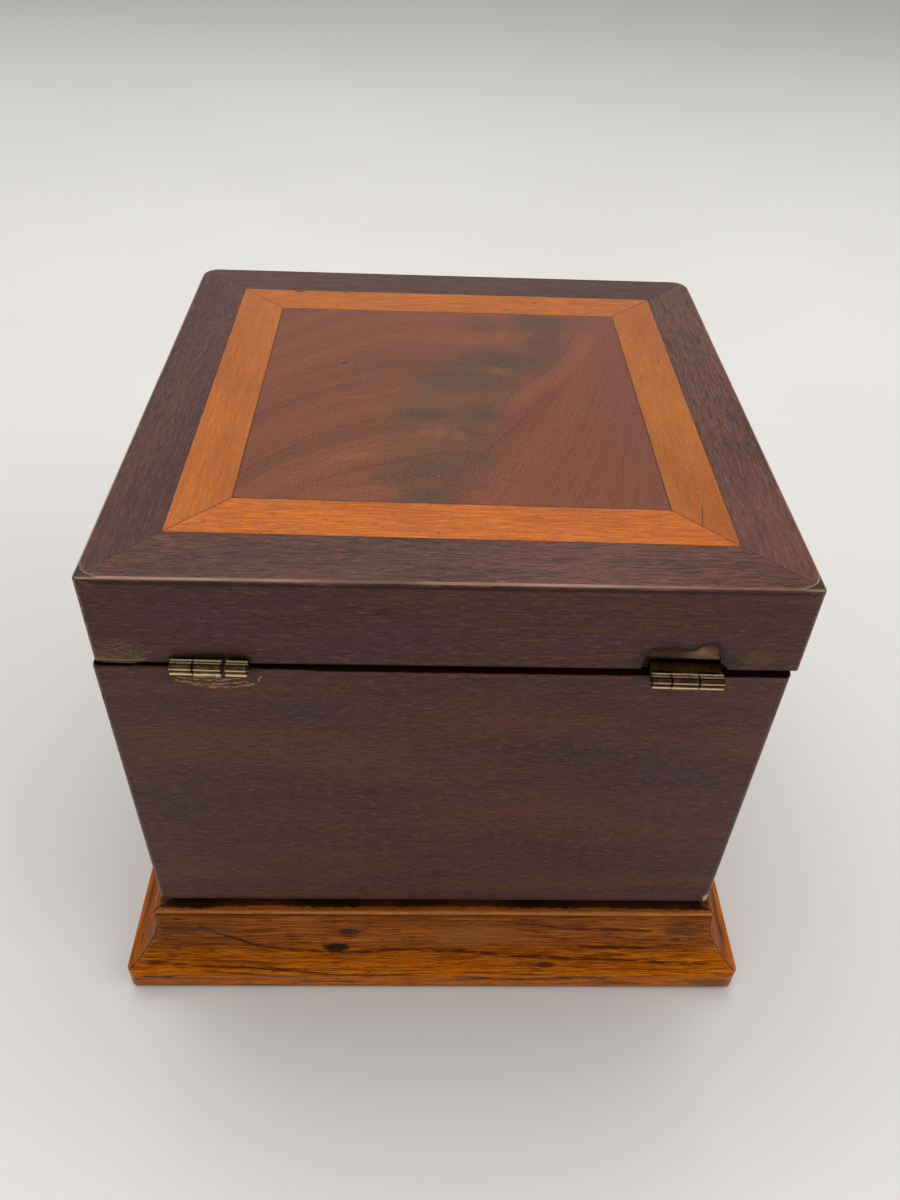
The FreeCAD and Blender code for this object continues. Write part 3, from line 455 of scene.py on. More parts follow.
def flame_panel():
    """The centre panel: feathers of flame mahogany that branch both ways from a dark, smoky spine."""
    graph = Graph("flame_mahogany", **POLISH)
    x, y = graph.x, graph.y
    drift = graph.noise(x * 0.035, y * 0.035, 4.0, detail=3.0)
    small_drift = graph.noise(x * 0.12, y * 0.12, 9.0, detail=3.0)
    spine = 5.5 - (38.0 - y) * 0.17 - graph.math("POWER", graph.most(5.0 - y, 0.0), 1.6) * 0.055
    aside = x - spine + (drift - 0.5) * 8.0
    left = graph.step(aside, 6.0, -6.0)
    # two families of curves, one each side of the spine; each value is constant along the grain
    out_right = graph.most(x - 5.0, 0.0)
    right_curve = y - out_right * out_right * 0.0175 + (drift - 0.5) * 9.0 + (small_drift - 0.5) * 1.6
    out_left = graph.most(x * -1.0, -8.0)
    left_curve = y + out_left * 1.2 + out_left * out_left * 0.03
    left_curve = left_curve + (drift - 0.5) * 9.0 + (small_drift - 0.5) * 1.6

    def feather(fine, slow, seed, detail=3.0, roughness=0.55):
        """Noise drawn out along both families of curves."""
        right_part = graph.noise(right_curve * fine, aside * slow, seed, detail=detail, roughness=roughness)
        left_part = graph.noise(left_curve * (fine * 0.62), aside * slow + 50.0, seed, detail=detail,
                                roughness=roughness)
        return right_part * (1.0 - left) + left_part * left

    broad = feather(0.10, 0.012, 1.0)
    fine = feather(0.50, 0.022, 5.0, 4.0, 0.62)
    hair = feather(2.2, 0.05, 8.0, 2.0)
    graph.colour = graph.mix(graph.step(broad, 0.34, 0.66), (104, 53, 31), (123, 65, 38))
    graph.tint(left * 0.50, (117, 53, 32))
    graph.wash(x, -24.0, -40.0, 0.40, (106, 58, 44))
    graph.wash(y, -10.0, -40.0, 0.35, (118, 58, 38))
    graph.wash(fine, 0.48, 0.32, 0.20, (84, 42, 28))
    graph.wash(fine, 0.58, 0.72, 0.24, (144, 76, 46))
    graph.wash(hair, 0.54, 0.38, 0.24, (76, 36, 25))
    graph.wash(hair, 0.60, 0.72, 0.16, (156, 92, 60))
    # dark olive smoke along the spine; its left side ends sharply against a redder feather
    wisp = graph.noise(x * 0.09, y * 0.20, 12.0, detail=4.0, roughness=0.6, distortion=0.5)
    smoke = None
    for a, b, reach_a, reach_b, share in (
            (-22.0, -35.0, 7.5, 5.0, 0.95), (-9.0, -34.0, 5.5, 3.5, 0.55), (-22.5, -24.0, 4.5, 7.0, 0.75),
            (-12.5, -15.5, 9.5, 4.6, 0.95), (-4.0, -6.5, 10.0, 4.5, 0.70), (4.5, 8.4, 5.0, 2.0, 0.85),
            (-6.5, 8.0, 3.6, 3.4, 0.80), (-4.5, 15.5, 4.6, 5.0, 0.45), (3.0, 30.0, 9.5, 5.6, 0.85),
            (-5.5, 24.5, 5.0, 2.6, 0.70), (4.0, 37.5, 5.5, 4.0, 1.00)):
        patch = graph.spot(x, y, a, b, reach_a, reach_b, soft=0.70, ragged=1.15, wobble=wisp) * share
        smoke = patch if smoke is None else graph.most(smoke, patch)
    wide = graph.stroke(
        x, y, ((-24.0, -38.0), (-13.0, -16.0), (-2.0, 2.0), (2.0, 22.0), (4.0, 39.0)), 11.0, 0.9)
    graph.tint(wide * graph.step(wisp, 0.30, 0.62, 0.36, 0.72), (84, 63, 41))
    smoke = smoke * graph.step(fine, 0.34, 0.58, 0.70, 0.92) * graph.step(hair, 0.30, 0.62, 0.88, 1.05)
    graph.tint(smoke, (64, 50, 30))
    sway = (small_drift - 0.5) * 1.6
    glow = graph.stroke(x, y, ((-33.5, -34.0), (-27.5, -14.0), (-19.0, -3.0), (-12.5, 7.0)), 2.2, 1.2, sway)
    graph.tint(glow * 0.26, (150, 80, 54))
    fans = [graph.stroke(x, y, points, 0.9, 1.6, sway) for points in (
        ((2.2, 18.6), (0.6, 12.0)), ((-3.6, 20.0), (-1.6, 13.0)), ((6.0, 17.8), (3.4, 13.4)),
        ((-14.0, -31.5), (-12.0, -25.0)), ((-9.0, -11.2), (-14.5, -10.8)), ((24.0, 26.5), (13.0, 23.5)))]
    graph.tint(graph.most(*fans) * 0.27, (152, 88, 62))
    veins = [graph.stroke(x, y, points, 0.14, 1.8, sway * 0.5) * share for points, share in (
        (((39.1, 15.0), (29.6, 1.5), (19.4, -9.5), (6.1, -12.2), (-3.0, -11.0)), 0.32),
        (((32.7, 22.0), (23.1, 15.2), (11.1, 9.6), (4.0, 7.5)), 0.50),
        (((38.2, 32.8), (27.0, 27.9), (14.1, 22.8), (7.3, 22.6)), 0.30),
        (((40.0, -23.0), (35.5, -27.6), (21.0, -36.5)), 0.25),
        (((27.0, 34.5), (14.1, 28.1), (6.2, 24.7), (-2.0, 22.7), (-7.8, 23.0)), 0.50),
        (((-30.8, -31.8), (-24.3, -14.9), (-16.8, -4.9), (-11.1, 4.4)), 0.35),
        (((-21.8, -2.5), (-14.5, 11.5), (-8.5, 20.8), (1.6, 34.7)), 0.50),
        (((-33.2, -21.2), (-27.0, -8.1), (-20.5, 5.2), (-15.2, 18.3), (-11.4, 33.3)), 0.26),
        (((-30.6, -19.3), (-25.0, -3.0), (-19.9, 23.0), (-15.3, 39.3)), 0.18))]
    graph.tint(graph.most(*veins), (66, 38, 28))
    pores = graph.step(feather(3.4, 0.35, 2.0, 1.0), 0.62, 0.70)
    graph.tint(pores * 0.30, (48, 25, 19))
    speckle = graph.noise(x * 2.4, y * 1.5, 3.0, detail=2.0, roughness=0.6)
    graph.wash(speckle, 0.53, 0.64, 0.24, (60, 30, 22))
    graph.wash(speckle, 0.46, 0.35, 0.22, (168, 104, 74))
    specks = graph.step(graph.cells(x * 0.5, y * 0.5, 0.0), 0.055, 0.085, 1.0, 0.0)
    dusty = graph.spot(x, y, 9.0, 32.5, 10.0, 4.5, soft=0.9)
    graph.tint(specks * graph.most(dusty, graph.step(small_drift, 0.56, 0.66) * 0.6) * 0.75, (176, 128, 70))
    for a, b, size in ((22.6, -12.9, 0.7), (20.3, -13.4, 0.35)):
        graph.tint(graph.spot(x, y, a, b, size, size * 0.7, soft=0.4) * 0.8, GLUE)
    corners = square(PANEL_HALF)
    lines = glue_lines(graph, [(corners[number], corners[(number + 1) % 4]) for number in range(4)], 0.11)
    graph.tint(lines * 0.90, GLUE)
    roughness = 0.27 + hair * 0.10 + drift * 0.08
    return graph.finish(roughness, hair * 0.3 - pores * 0.3 - lines, 0.04)


def side_grain(graph, grain):
    """Fine, short dark and light dashes that show along the grain of the side veneers."""
    dark = graph.step(grain.field(2.6, 0.30, 2.0, 0.6, 15.0), 0.53, 0.64)
    pale = graph.step(grain.field(2.2, 0.27, 2.0, 0.6, 21.0), 0.55, 0.66)
    graph.tint(dark * 0.56, (28, 12, 15))
    graph.tint(pale * 0.50, (120, 72, 58))


def lid_veneer(side, number):
    """A show veneer on the side of the lid."""
    axes = "xzy" if side in ("front", "back") else "yzx"
    graph, grain, roughness, relief = mahogany(
        "lid_veneer_" + side, axes, 7.9 * number + 20.0, VENEER, POLISH, pore_depth=0.4,
        length=26.0, width=1.6)
    x, z = graph.x, graph.z
    # warm and purple clouds
    graph.wash(grain.field(24.0, 5.0, 3.0, 0.6, 5.0), 0.52, 0.74, 0.45, (90, 50, 36))
    graph.wash(grain.field(22.0, 6.0, 3.0, 0.6, 25.0), 0.46, 0.64, 0.60, (72, 32, 50))
    side_grain(graph, grain)
    graph.tint(graph.step(graph.size(x), 20.0, 50.0, 0.04, 0.14), (30, 12, 12))
    lid_edge_wear_and_highlights(graph)
    patchy = graph.even_noise(0.3, detail=4.0)
    low = graph.step(z, LID_BOTTOM + 1.3, LID_BOTTOM + 0.5) * graph.step(patchy, 0.44, 0.62)
    graph.tint(low * 0.40, (98, 54, 38))
    # painted shade and dirt: darkest along the bottom edge, at the seam
    graph.wash(z, LID_BOTTOM + 0.45, LID_BOTTOM + 0.1, 0.85, SHADE_AND_DIRT)
    if side == "back":
        filler = graph.spot(x, z, *FILLER, 4.8, 2.3, soft=0.25, ragged=0.55, grain=2.0)
        ring = graph.spot(x, z, *FILLER, 5.4, 2.8, soft=0.25, ragged=0.55, grain=2.0) * (1.0 - filler)
        cracked = graph.noise(x * 0.9, z * 2.2, 3.0, detail=5.0, roughness=0.7)
        graph.tint(filler * 0.50, (74, 56, 46))
        graph.tint(filler * graph.step(cracked, 0.50, 0.60) * 0.72, (118, 92, 46))
        lip = graph.stroke(x, z, ((61.9, 99.75), (57.0, 99.45), (52.3, 99.75)), 0.12)
        graph.tint(lip * graph.step(patchy, 0.36, 0.52, 0.2, 0.65), (150, 120, 84))
        graph.tint(filler * graph.step(cracked, 0.42, 0.34) * 0.55, (44, 34, 34))
        graph.tint(ring * graph.step(patchy, 0.42, 0.56) * 0.55, (92, 66, 44))
        rub = graph.spot(x, z, -55.4, 102.0, 3.4, 1.5, soft=0.5, ragged=0.8, grain=2.0)
        graph.tint(rub * graph.step(cracked, 0.44, 0.60, 0.10, 0.65), (98, 76, 46))
        mark = graph.spot(x, z, 19.3, 103.9, 1.9, 0.5, soft=0.5, ragged=0.8)
        graph.tint(mark * 0.6, (40, 30, 34))
        # the veneer round the break is stained, a painted shadow runs along its broken edge, and painted
        # shade lies over one hinge
        broken = graph.spot(x, z, -42.6, 100.0, 9.4, 5.2, soft=0.14, ragged=0.25, grain=3.0)
        graph.tint(broken * 0.62, (34, 17, 12))
        edge = graph.stroke(x, z, (
            (-51.6, 98.6), (-50.4, 100.2), (-49.1, 101.8), (-48.5, 104.1), (-46.9, 105.3), (-44.7, 104.9),
            (-43.6, 103.8), (-39.4, 104.0), (-36.0, 103.6), (-34.6, 102.0)), 0.55)
        graph.tint(edge * 0.9, (14, 7, 5))
        grime = graph.spot(x, z, 41.6, 99.9, 7.8, 1.5, soft=0.25, ragged=0.25)
        graph.tint(grime * 0.95, (8, 5, 4))
        relief = relief + filler * 2.0 + filler * cracked * 3.0 - mark
    return graph.finish(roughness, relief, 0.05)


def case_veneer(side, number):
    """A show veneer on the side of the case."""
    axes = "xzy" if side in ("front", "back") else "yzx"
    graph, grain, roughness, relief = mahogany(
        "case_veneer_" + side, axes, 13.1 * number + 40.0, VENEER, POLISH, pore_depth=0.35,
        length=30.0, width=3.0)
    x, y, z = graph.x, graph.y, graph.z
    across = x if side in ("front", "back") else y
    # red and purple clouds
    graph.wash(grain.field(42.0, 9.0, 3.0, 0.55, 2.0), 0.46, 0.68, 0.55, (94, 50, 36))
    graph.wash(grain.field(30.0, 7.0, 3.0, 0.55, 12.0), 0.50, 0.68, 0.55, (64, 34, 46))
    if side == "back":
        for a, b, reach_a, reach_b, share, tone in (
                (40.9, 77.0, 18.0, 5.5, 0.50, (98, 52, 32)), (16.0, 71.5, 16.0, 5.0, 0.42, (92, 52, 32)),
                (-19.7, 56.0, 24.0, 9.0, 0.42, (94, 50, 34)), (-57.0, 79.0, 8.0, 5.0, 0.38, (98, 50, 34)),
                (-12.0, 84.0, 14.0, 5.0, 0.35, (94, 48, 32)), (24.0, 38.0, 20.0, 6.0, 0.30, (88, 46, 34)),
                (26.0, 85.5, 18.0, 3.6, 0.50, (52, 34, 40)), (14.0, 62.5, 16.0, 3.0, 0.50, (50, 33, 32)),
                (-26.0, 37.0, 24.0, 3.6, 0.40, (52, 35, 36)), (53.0, 59.0, 9.0, 5.0, 0.45, (50, 33, 40)),
                (-27.0, 76.5, 16.0, 4.2, 0.50, (48, 32, 38)), (-50.0, 67.0, 12.0, 6.0, 0.35, (54, 36, 42)),
                (50.0, 89.0, 10.0, 4.0, 0.40, (52, 34, 40)), (-48.0, 90.0, 12.0, 4.0, 0.35, (54, 36, 40))):
            cloud = graph.spot(x, z, a, b, reach_a, reach_b, soft=0.9, ragged=0.5)
            graph.tint(cloud * share, tone)
    side_grain(graph, grain)
    if side == "back":
        halo = graph.spot(x, z, 41.5, 94.9, 8.5, 1.5, soft=0.5)
        graph.tint(halo * 0.62, (62, 40, 20))
        shaky = graph.noise(x * 0.7, z * 1.4, 5.0, detail=3.0)
        gouges = graph.most(*[
            graph.stroke(x, z, points, 0.16, 1.2, (shaky - 0.5) * 1.6)
            for points in (
                ((49.0, 94.7), (42.0, 93.7), (35.0, 94.6)), ((48.4, 95.4), (43.0, 94.7), (36.5, 95.2)),
                ((46.0, 93.6), (39.5, 93.0), (34.0, 94.0)), ((34.0, 94.2), (33.0, 96.0)))])
        graph.tint(gouges * graph.step(shaky, 0.34, 0.52, 0.35, 0.80), (156, 120, 70))
        relief = relief - gouges * 1.5
        # painted shade round each hinge on the case's back
        for hinge_x in (HINGES["left"][0], HINGES["right"][0]):
            grime = graph.spot(x, z, hinge_x, 97.0, 7.6, 1.7, soft=0.30)
            graph.tint(grime * 0.90, (8, 5, 4))
    patchy = graph.even_noise(0.30, detail=4.0)
    speck = graph.step(graph.even_noise(1.8, detail=2.0), 0.56, 0.64)
    # a red line below the rim: partly wear, partly a painted highlight on the rim's rounding
    worn_and_highlit_line = graph.step(z, RIM - 2.4, RIM - 1.8) * graph.step(patchy, 0.36, 0.60)
    if side == "back":
        worn_and_highlit_line = worn_and_highlit_line * graph.step(x, 30.0, -20.0, 0.45, 1.0)
    graph.tint(worn_and_highlit_line * 0.60, (98, 38, 32))
    graph.tint(worn_and_highlit_line * speck * 0.40, (150, 92, 66))
    # painted shade in the seam: a near-black band along the top of the case under the lid, with its gloss
    # taken off
    closer = graph.step(x, 12.0, 46.0) * 0.55
    rim_shade = graph.step(z + (patchy - 0.5) * 0.6 - closer, RIM - 1.5, RIM - 1.05)
    graph.tint(rim_shade * 0.95, (8, 4, 4))
    graph.deaden(rim_shade)
    # a painted sheen on the worn, rounded upright corners
    out = graph.least(graph.size(x), graph.size(y)) + (patchy - 0.5) * 1.0
    corner = graph.step(out, HALF - 1.0, HALF - 0.3)
    graph.tint(corner * 0.35, (84, 66, 56))
    # darker towards the bottom edge, over the gap above the plinth: painted shade and dirt
    graph.wash(z, CASE_BOTTOM + 1.7, CASE_BOTTOM + 0.6, 0.60, (44, 14, 9))
    graph.wash(z, CASE_BOTTOM + 0.7, CASE_BOTTOM + 0.3, 0.9, SHADE_AND_DIRT)
    if side == "back":
        chip = graph.spot(x, z, -61.9, 24.9, 0.7, 1.5, soft=0.4)
        graph.tint(chip * 0.8, (176, 158, 134))
    dust = graph.step(graph.cells(across * 0.16, z * 0.16, number * 3.0), 0.018, 0.034, 1.0, 0.0)
    graph.tint(dust * 0.40, (150, 120, 100))
    return graph.finish(roughness, relief, 0.05)


def plinth(side, number):
    """One golden-brown moulding of the plinth."""
    graph = Graph("plinth_" + side, **GOLDEN)
    lengthways, outwards = (graph.x, graph.size(graph.y)) if side in ("front", "back") else (
        graph.y, graph.size(graph.x))
    seed = 17.0 * number
    # girth runs down and out round the moulding's section, from about 18 on the ledge to -9 at the floor
    girth = graph.z - (outwards - HALF)
    drift = graph.noise(lengthways * 0.022 + seed, girth * 0.05, 0.0, detail=2.0)
    across = girth + (drift - 0.5) * 5.0
    broad = graph.noise(lengthways * 0.016 + seed, across * 0.17, 1.0, detail=3.0, roughness=0.55)
    streak = graph.noise(lengthways * 0.030 + seed, across * 0.80, 2.0, detail=4.0, roughness=0.60)
    fibre = graph.noise(lengthways * 0.11 + seed, across * 2.6, 3.0, detail=4.0, roughness=0.66)
    pores = graph.step(graph.noise(lengthways * 0.28 + seed, across * 3.4, 4.0, detail=2.0), 0.58, 0.66)
    # painted reflection: the upper part of the moulding is browner and pinker
    upper_reflection = graph.step(across, 4.0, 8.5)
    graph.colour = graph.mix(graph.step(broad, 0.34, 0.66), (148, 70, 0), (184, 96, 4))
    graph.tint(upper_reflection * 0.80, (142, 78, 34))
    graph.tint(graph.step(across, 3.0, 6.0) * graph.step(across, 11.0, 7.0) * 0.35, (118, 62, 22))
    graph.wash(girth, 2.0, -3.0, 0.68, (208, 112, 0))
    graph.wash(streak, 0.47, 0.36, 0.66, (82, 32, 2))
    graph.wash(streak, 0.56, 0.66, 0.46, (204, 118, 24))
    graph.wash(fibre, 0.52, 0.41, 0.68, (76, 31, 2))
    graph.wash(fibre, 0.57, 0.65, 0.50, (212, 130, 40))
    graph.tint(pores * 0.72, (48, 18, 2))
    if side == "back":
        lines = (((57.8, 15.4), (52.7, 11.8), (47.4, 8.9), (39.1, 5.9), (32.2, 4.9), (19.3, 4.0), (8.2, 5.2),
                  (-0.7, 4.8), (-10.2, 3.9), (-20.3, 2.7), (-37.9, 2.1), (-47.2, 1.8), (-56.4, 1.0),
                  (-67.0, 1.0)),
                 ((68.7, 0.7), (61.4, 0.1), (52.7, -0.5), (35.3, -1.3), (22.8, -2.7), (11.3, -3.1),
                  (4.4, -2.9)),
                 ((-3.0, -4.1), (-9.4, -4.5), (-17.2, -5.0), (-36.1, -4.4), (-41.8, -4.8)),
                 ((68.7, -3.9), (59.7, -4.7)),
                 ((-33.2, 6.3), (-42.5, 6.0), (-56.4, 6.8)),
                 ((-17.2, 15.7), (-29.2, 13.2), (-40.0, 12.2), (-52.0, 12.4)))
    else:
        lines = (((66.0, 1.5), (30.0, -1.0), (-12.0, -2.2)), ((20.0, 6.2), (-26.0, 3.6), (-64.0, 3.0)),
                 ((58.0, 11.5), (20.0, 7.4), (-4.0, 8.4)), ((-20.0, -3.6), (-60.0, -4.4)))
    breaks = graph.noise(lengthways * 0.22 + seed, across * 1.3, 6.0, detail=4.0)
    broken = graph.step(breaks, 0.39, 0.53, 0.18, 1.0)
    sway = (drift - 0.5) * 2.0 + (fibre - 0.5) * 2.6
    cracks = graph.most(*[graph.stroke(lengthways, girth, points, 0.36, 1.8, sway) for points in lines])
    graph.tint(cracks * broken * 0.90, (56, 21, 3))
    # knots, smudges and stains: place along, place round the section, reach each way, strength, colour
    if side == "back":
        spots = ((20.4, 11.1, 2.7, 1.0, 0.85, (44, 30, 30)), (23.2, 5.6, 2.9, 1.5, 0.95, (26, 14, 10)),
                 (59.6, 11.9, 5.4, 1.4, 0.65, (66, 46, 40)), (52.0, 12.2, 4.6, 0.9, 0.55, (70, 48, 38)),
                 (-25.9, 0.3, 2.2, 0.9, 0.80, (62, 26, 8)), (-56.8, 8.9, 1.4, 0.5, 0.70, (56, 32, 20)),
                 (-58.6, 12.0, 4.4, 1.3, 0.55, (78, 54, 46)), (-21.5, 14.9, 4.6, 1.0, 0.50, (74, 48, 34)),
                 (-30.0, 13.2, 4.4, 1.1, 0.45, (74, 48, 36)), (59.5, 16.0, 1.0, 0.5, 0.70, (70, 26, 10)),
                 (60.2, 5.5, 1.2, 0.5, 0.60, (84, 36, 12)), (61.1, 2.6, 1.4, 0.5, 0.60, (84, 36, 12)),
                 (-10.0, 9.6, 11.0, 3.2, 0.45, (146, 88, 48)), (-66.0, -6.2, 6.0, 1.6, 0.60, (96, 66, 44)))
    else:
        spots = ((-30.0, 9.0, 3.0, 1.2, 0.75, (44, 26, 20)), (34.0, 13.0, 6.0, 1.3, 0.50, (70, 46, 36)),
                 (8.0, 1.0, 2.2, 0.8, 0.70, (60, 26, 10)), (-52.0, 13.0, 5.0, 1.2, 0.45, (74, 50, 40)))
    for place, round_place, reach, round_reach, share, tone in spots:
        knot = graph.spot(lengthways, girth, place, round_place, reach, round_reach, soft=0.35,
                          ragged=0.45, grain=1.5)
        graph.tint(knot * share, tone)
    # dirt and painted shade on the ledge against the case, painted shade in the quirk under its nose, a
    # painted highlight on the nose, and near the floor a greyer band with painted shade along the floor
    crust = graph.noise(lengthways * 0.55 + seed, outwards * 1.2, graph.z * 1.2, detail=5.0, roughness=0.65)
    long_crust = graph.noise(lengthways * 0.06 + seed, 1.0, 2.0, detail=3.0)
    ledge = graph.step(graph.z, PLINTH_TOP - 0.45, PLINTH_TOP - 0.15)
    reach_out = outwards + (crust - 0.5) * 1.6 + (long_crust - 0.5) * 1.8
    reach_out = reach_out - graph.step(graph.size(lengthways), 36.0, 56.0) * 0.35
    inner = graph.step(reach_out, HALF + 0.1, HALF + 0.55, 1.0, 0.0)
    graph.tint(ledge * 0.45, (150, 78, 10))
    # dirt on the ledge against the case, partly painted shade
    crumbs_and_shade = graph.mix(graph.step(long_crust, 0.42, 0.58), (12, 7, 5), (58, 27, 14))
    graph.tint(ledge * inner * 0.94, crumbs_and_shade)
    # painted shade in the quirk
    quirk = graph.step(graph.size(graph.z - (PLINTH_TOP - 1.9)), 0.20, 0.60, 1.0, 0.0)
    graph.tint(quirk * graph.step(outwards, HALF + 2.3, HALF + 1.8) * 0.50, (70, 34, 12))
    # painted highlight on the rounded nose
    nose = graph.step(graph.size(graph.z - (PLINTH_TOP - 0.45)), 0.15, 0.45, 1.0, 0.0)
    nose = nose * graph.step(outwards, HALF + 1.0, HALF + 1.4)
    graph.tint(nose * graph.step(crust, 0.30, 0.55, 0.15, 0.50), (196, 132, 80))
    graph.wash(graph.z, 1.9, 0.5, 0.60, (104, 72, 48))
    # painted shade along the floor
    graph.wash(graph.z, 0.6, 0.15, 0.6, (60, 46, 38))
    # the mitre shows as a thin dark line
    mitre = graph.size(graph.size(graph.x) - graph.size(graph.y))
    joint = graph.step(mitre - (crust - 0.5) * 0.20, 0.12, 0.34, 1.0, 0.0)
    if side in ("left", "right"):
        graph.tint(0.30, (112, 56, 26))
    if side == "back":
        graph.wash(graph.x, 34.0, 56.0, 0.16, (52, 20, 2))
    graph.tint(joint * 0.85, (38, 18, 10))
    pale = graph.step(mitre, 0.35, 0.8, 1.0, 0.0) * graph.step(crust, 0.46, 0.60)
    graph.tint(pale * 0.25, (200, 140, 90))
    roughness = 0.28 + fibre * 0.12 + ledge * inner * 0.4
    return graph.finish(roughness, fibre * 0.5 - pores * 0.4 + ledge * crust * 2.0, 0.05)


def plain_wood(name, axes, seed, tones, polish, rough=0.5, lines=0.5):
    """An unpolished or waxed board."""
    graph, grain, roughness, relief = mahogany(
        name, axes, seed, tones, polish, pore_depth=0.45, length=45.0, width=2.2)
    rings = graph.math("SINE", grain.across * 2.1 + grain.field(50.0, 12.0, 3.0) * 14.0)
    graph.tint(graph.step(rings, 0.2, 1.0) * lines * 0.5, tones[0])
    return graph.finish(roughness + (rough - 0.3), relief, 0.08)


def raw_core():
    """The wood of the lid's back wall, bare and grimy where the veneer is broken away, with painted shade in
    the break's corners and by the hinge mortise.
    """
    graph = Graph("raw_core", **PLAIN)
    grain = Grain(graph, "xzy", 31.0)
    fibre = grain.field(6.0, 0.35, 3.0, 0.6)
    cloud = graph.even_noise(0.4, detail=4.0, roughness=0.6)
    graph.colour = graph.mix(graph.step(cloud, 0.35, 0.65), (122, 86, 62), (156, 118, 88))
    graph.wash(fibre, 0.56, 0.36, 0.4, (84, 54, 36))
    broken = graph.step(graph.z, BREAK_TOP + 1.0, BREAK_TOP) * graph.step(graph.y, HALF - 2.4, HALF - 1.9)
    stained = graph.step(graph.x + (cloud - 0.5) * 6.0, -45.0, -41.0)
    graph.tint(broken * stained * 0.82, (62, 31, 18))
    # painted shade: near black just above the hinge mortise
    height = graph.z + (cloud - 0.5) * 0.8 - (graph.x - HINGES["left"][0]) * 0.04
    black = graph.step(height, MORTISE_TOP + 0.5, MORTISE_TOP)
    graph.tint(broken * black * 0.93, (10, 7, 5))
    # painted shade in the corners of the break
    graph.tint(broken * graph.step(graph.nook(), 0.50, 0.90) * 0.6, (20, 10, 7))
    # painted shade inside the hinge mortise
    mortise = graph.step(graph.z, MORTISE_TOP + 0.2, MORTISE_TOP)
    mortise = mortise * graph.step(graph.y, HALF - 8.3, HALF - 7.3)
    graph.tint(mortise * 0.80, SHADE_AND_DIRT)
    return graph.finish(0.62 + cloud * 0.2, fibre * 0.6 + cloud, 0.12)


# ---------------------------------------------------------------- metal

def metal(name, bright, dull, grime, rough, edge_radius=0.0004, tarnish=0.5):
    """Old metal: dull patina with grime, and bright where edges are rubbed.

    Returns its graph, roughness, relief and shine.
    """
    graph = Graph(name, Specular_IOR_Level=0.5)
    patches = graph.even_noise(0.55, detail=5.0, roughness=0.65)
    small = graph.even_noise(2.6, detail=3.0, roughness=0.6)
    scratches = graph.noise(graph.x * 0.25, graph.y * 5.0, graph.z * 5.0, detail=2.0)
    graph.colour = graph.mix(graph.step(patches, 0.36, 0.62), dull, bright)
    graph.wash(scratches, 0.56, 0.70, 0.45, bright)
    dark = graph.step(small + patches, 1.0 + (0.5 - tarnish) * 0.3, 0.72)
    graph.tint(dark * 0.8, grime)
    edge = graph.step(graph.edge(edge_radius), 0.02, 0.14)
    graph.tint(edge * 0.75, bright)
    shine = 1.0 - dark * 0.75
    roughness = rough + patches * 0.18 + dark * 0.25 - edge * 0.12
    return graph, roughness, small * 0.7 + scratches * 0.5, shine


def plain_metal(*tones, **options):
    """A metal with no marks of its own."""
    graph, roughness, relief, shine = metal(*tones, **options)
    return graph.finish(roughness, relief, 0.05, shine)


def hinge_metal(side, bright, dull, grime, rubbed):
    """A hinge's brass: dark, with painted highlights as thin bright lines along the filed edges of its
    barrel.
    """
    graph, roughness, relief, shine = metal(
        "hinge_brass_" + side, bright, dull, grime, 0.42, edge_radius=0.00015, tarnish=0.75)
    centre = HINGES[side]
    run = [second - first for first, second in zip(HINGES["left"], HINGES["right"])]
    along = graph.x - centre[0]
    out = graph.y - centre[1] - along * (run[1] / run[0])
    up = graph.z - centre[2] - along * (run[2] / run[0])
    patchy = graph.even_noise(0.8, detail=3.0)
    # around runs over the barrel from its inner top edge, at 1.4, to its outer bottom edge, at -1.4
    around = up * 0.73 - out * 0.68 + (patchy - 0.5) * 0.12
    barrel = graph.step(out, -1.15, -0.95)
    # painted highlights: thin bright lines at set places round the barrel, in the rubbed tone
    ridge = graph.most(*[
        graph.step(graph.size(around - place), width, width + 0.11, share, 0.0)
        for place, width, share in (
            (1.26, 0.07, 1.0), (0.80, 0.05, 0.70), (-0.42, 0.05, 0.60), (-1.24, 0.08, 1.0))])
    ridge = ridge * barrel * graph.step(patchy, 0.28, 0.44, 0.45, 1.0)
    green = barrel * graph.step(graph.size(around - 0.2), 0.45, 0.60, 1.0, 0.0)
    graph.tint(green * 0.6, grime)
    groove = barrel * graph.step(graph.size(around + 0.74), 0.10, 0.24, 1.0, 0.0)
    graph.tint(groove * 0.8, (10, 8, 6))
    graph.tint(ridge * 0.85, rubbed)
    gaps = graph.least(*[graph.size(along - place) for place in KNUCKLE_JOINTS[side]])
    gap = graph.step(gaps, 0.16, 0.30, 1.0, 0.0) * graph.step(out, -1.6, -1.3)
    gap = gap * graph.step(graph.size(around), 1.0, 1.15, 1.0, 0.35)
    inner = graph.step(graph.nook(), 0.40, 0.80)
    # painted shade on the leaf where it runs deep into the mortise
    deep = graph.step(out + (patchy - 0.5) * 1.2, -3.1, -3.7)
    dark = graph.most(gap, inner, deep)
    graph.tint(dark * 0.85, (10, 8, 6))
    shine = shine * (1.0 - ridge * 0.65)
    return graph.finish(roughness + dark * 0.2, relief, 0.06, shine)


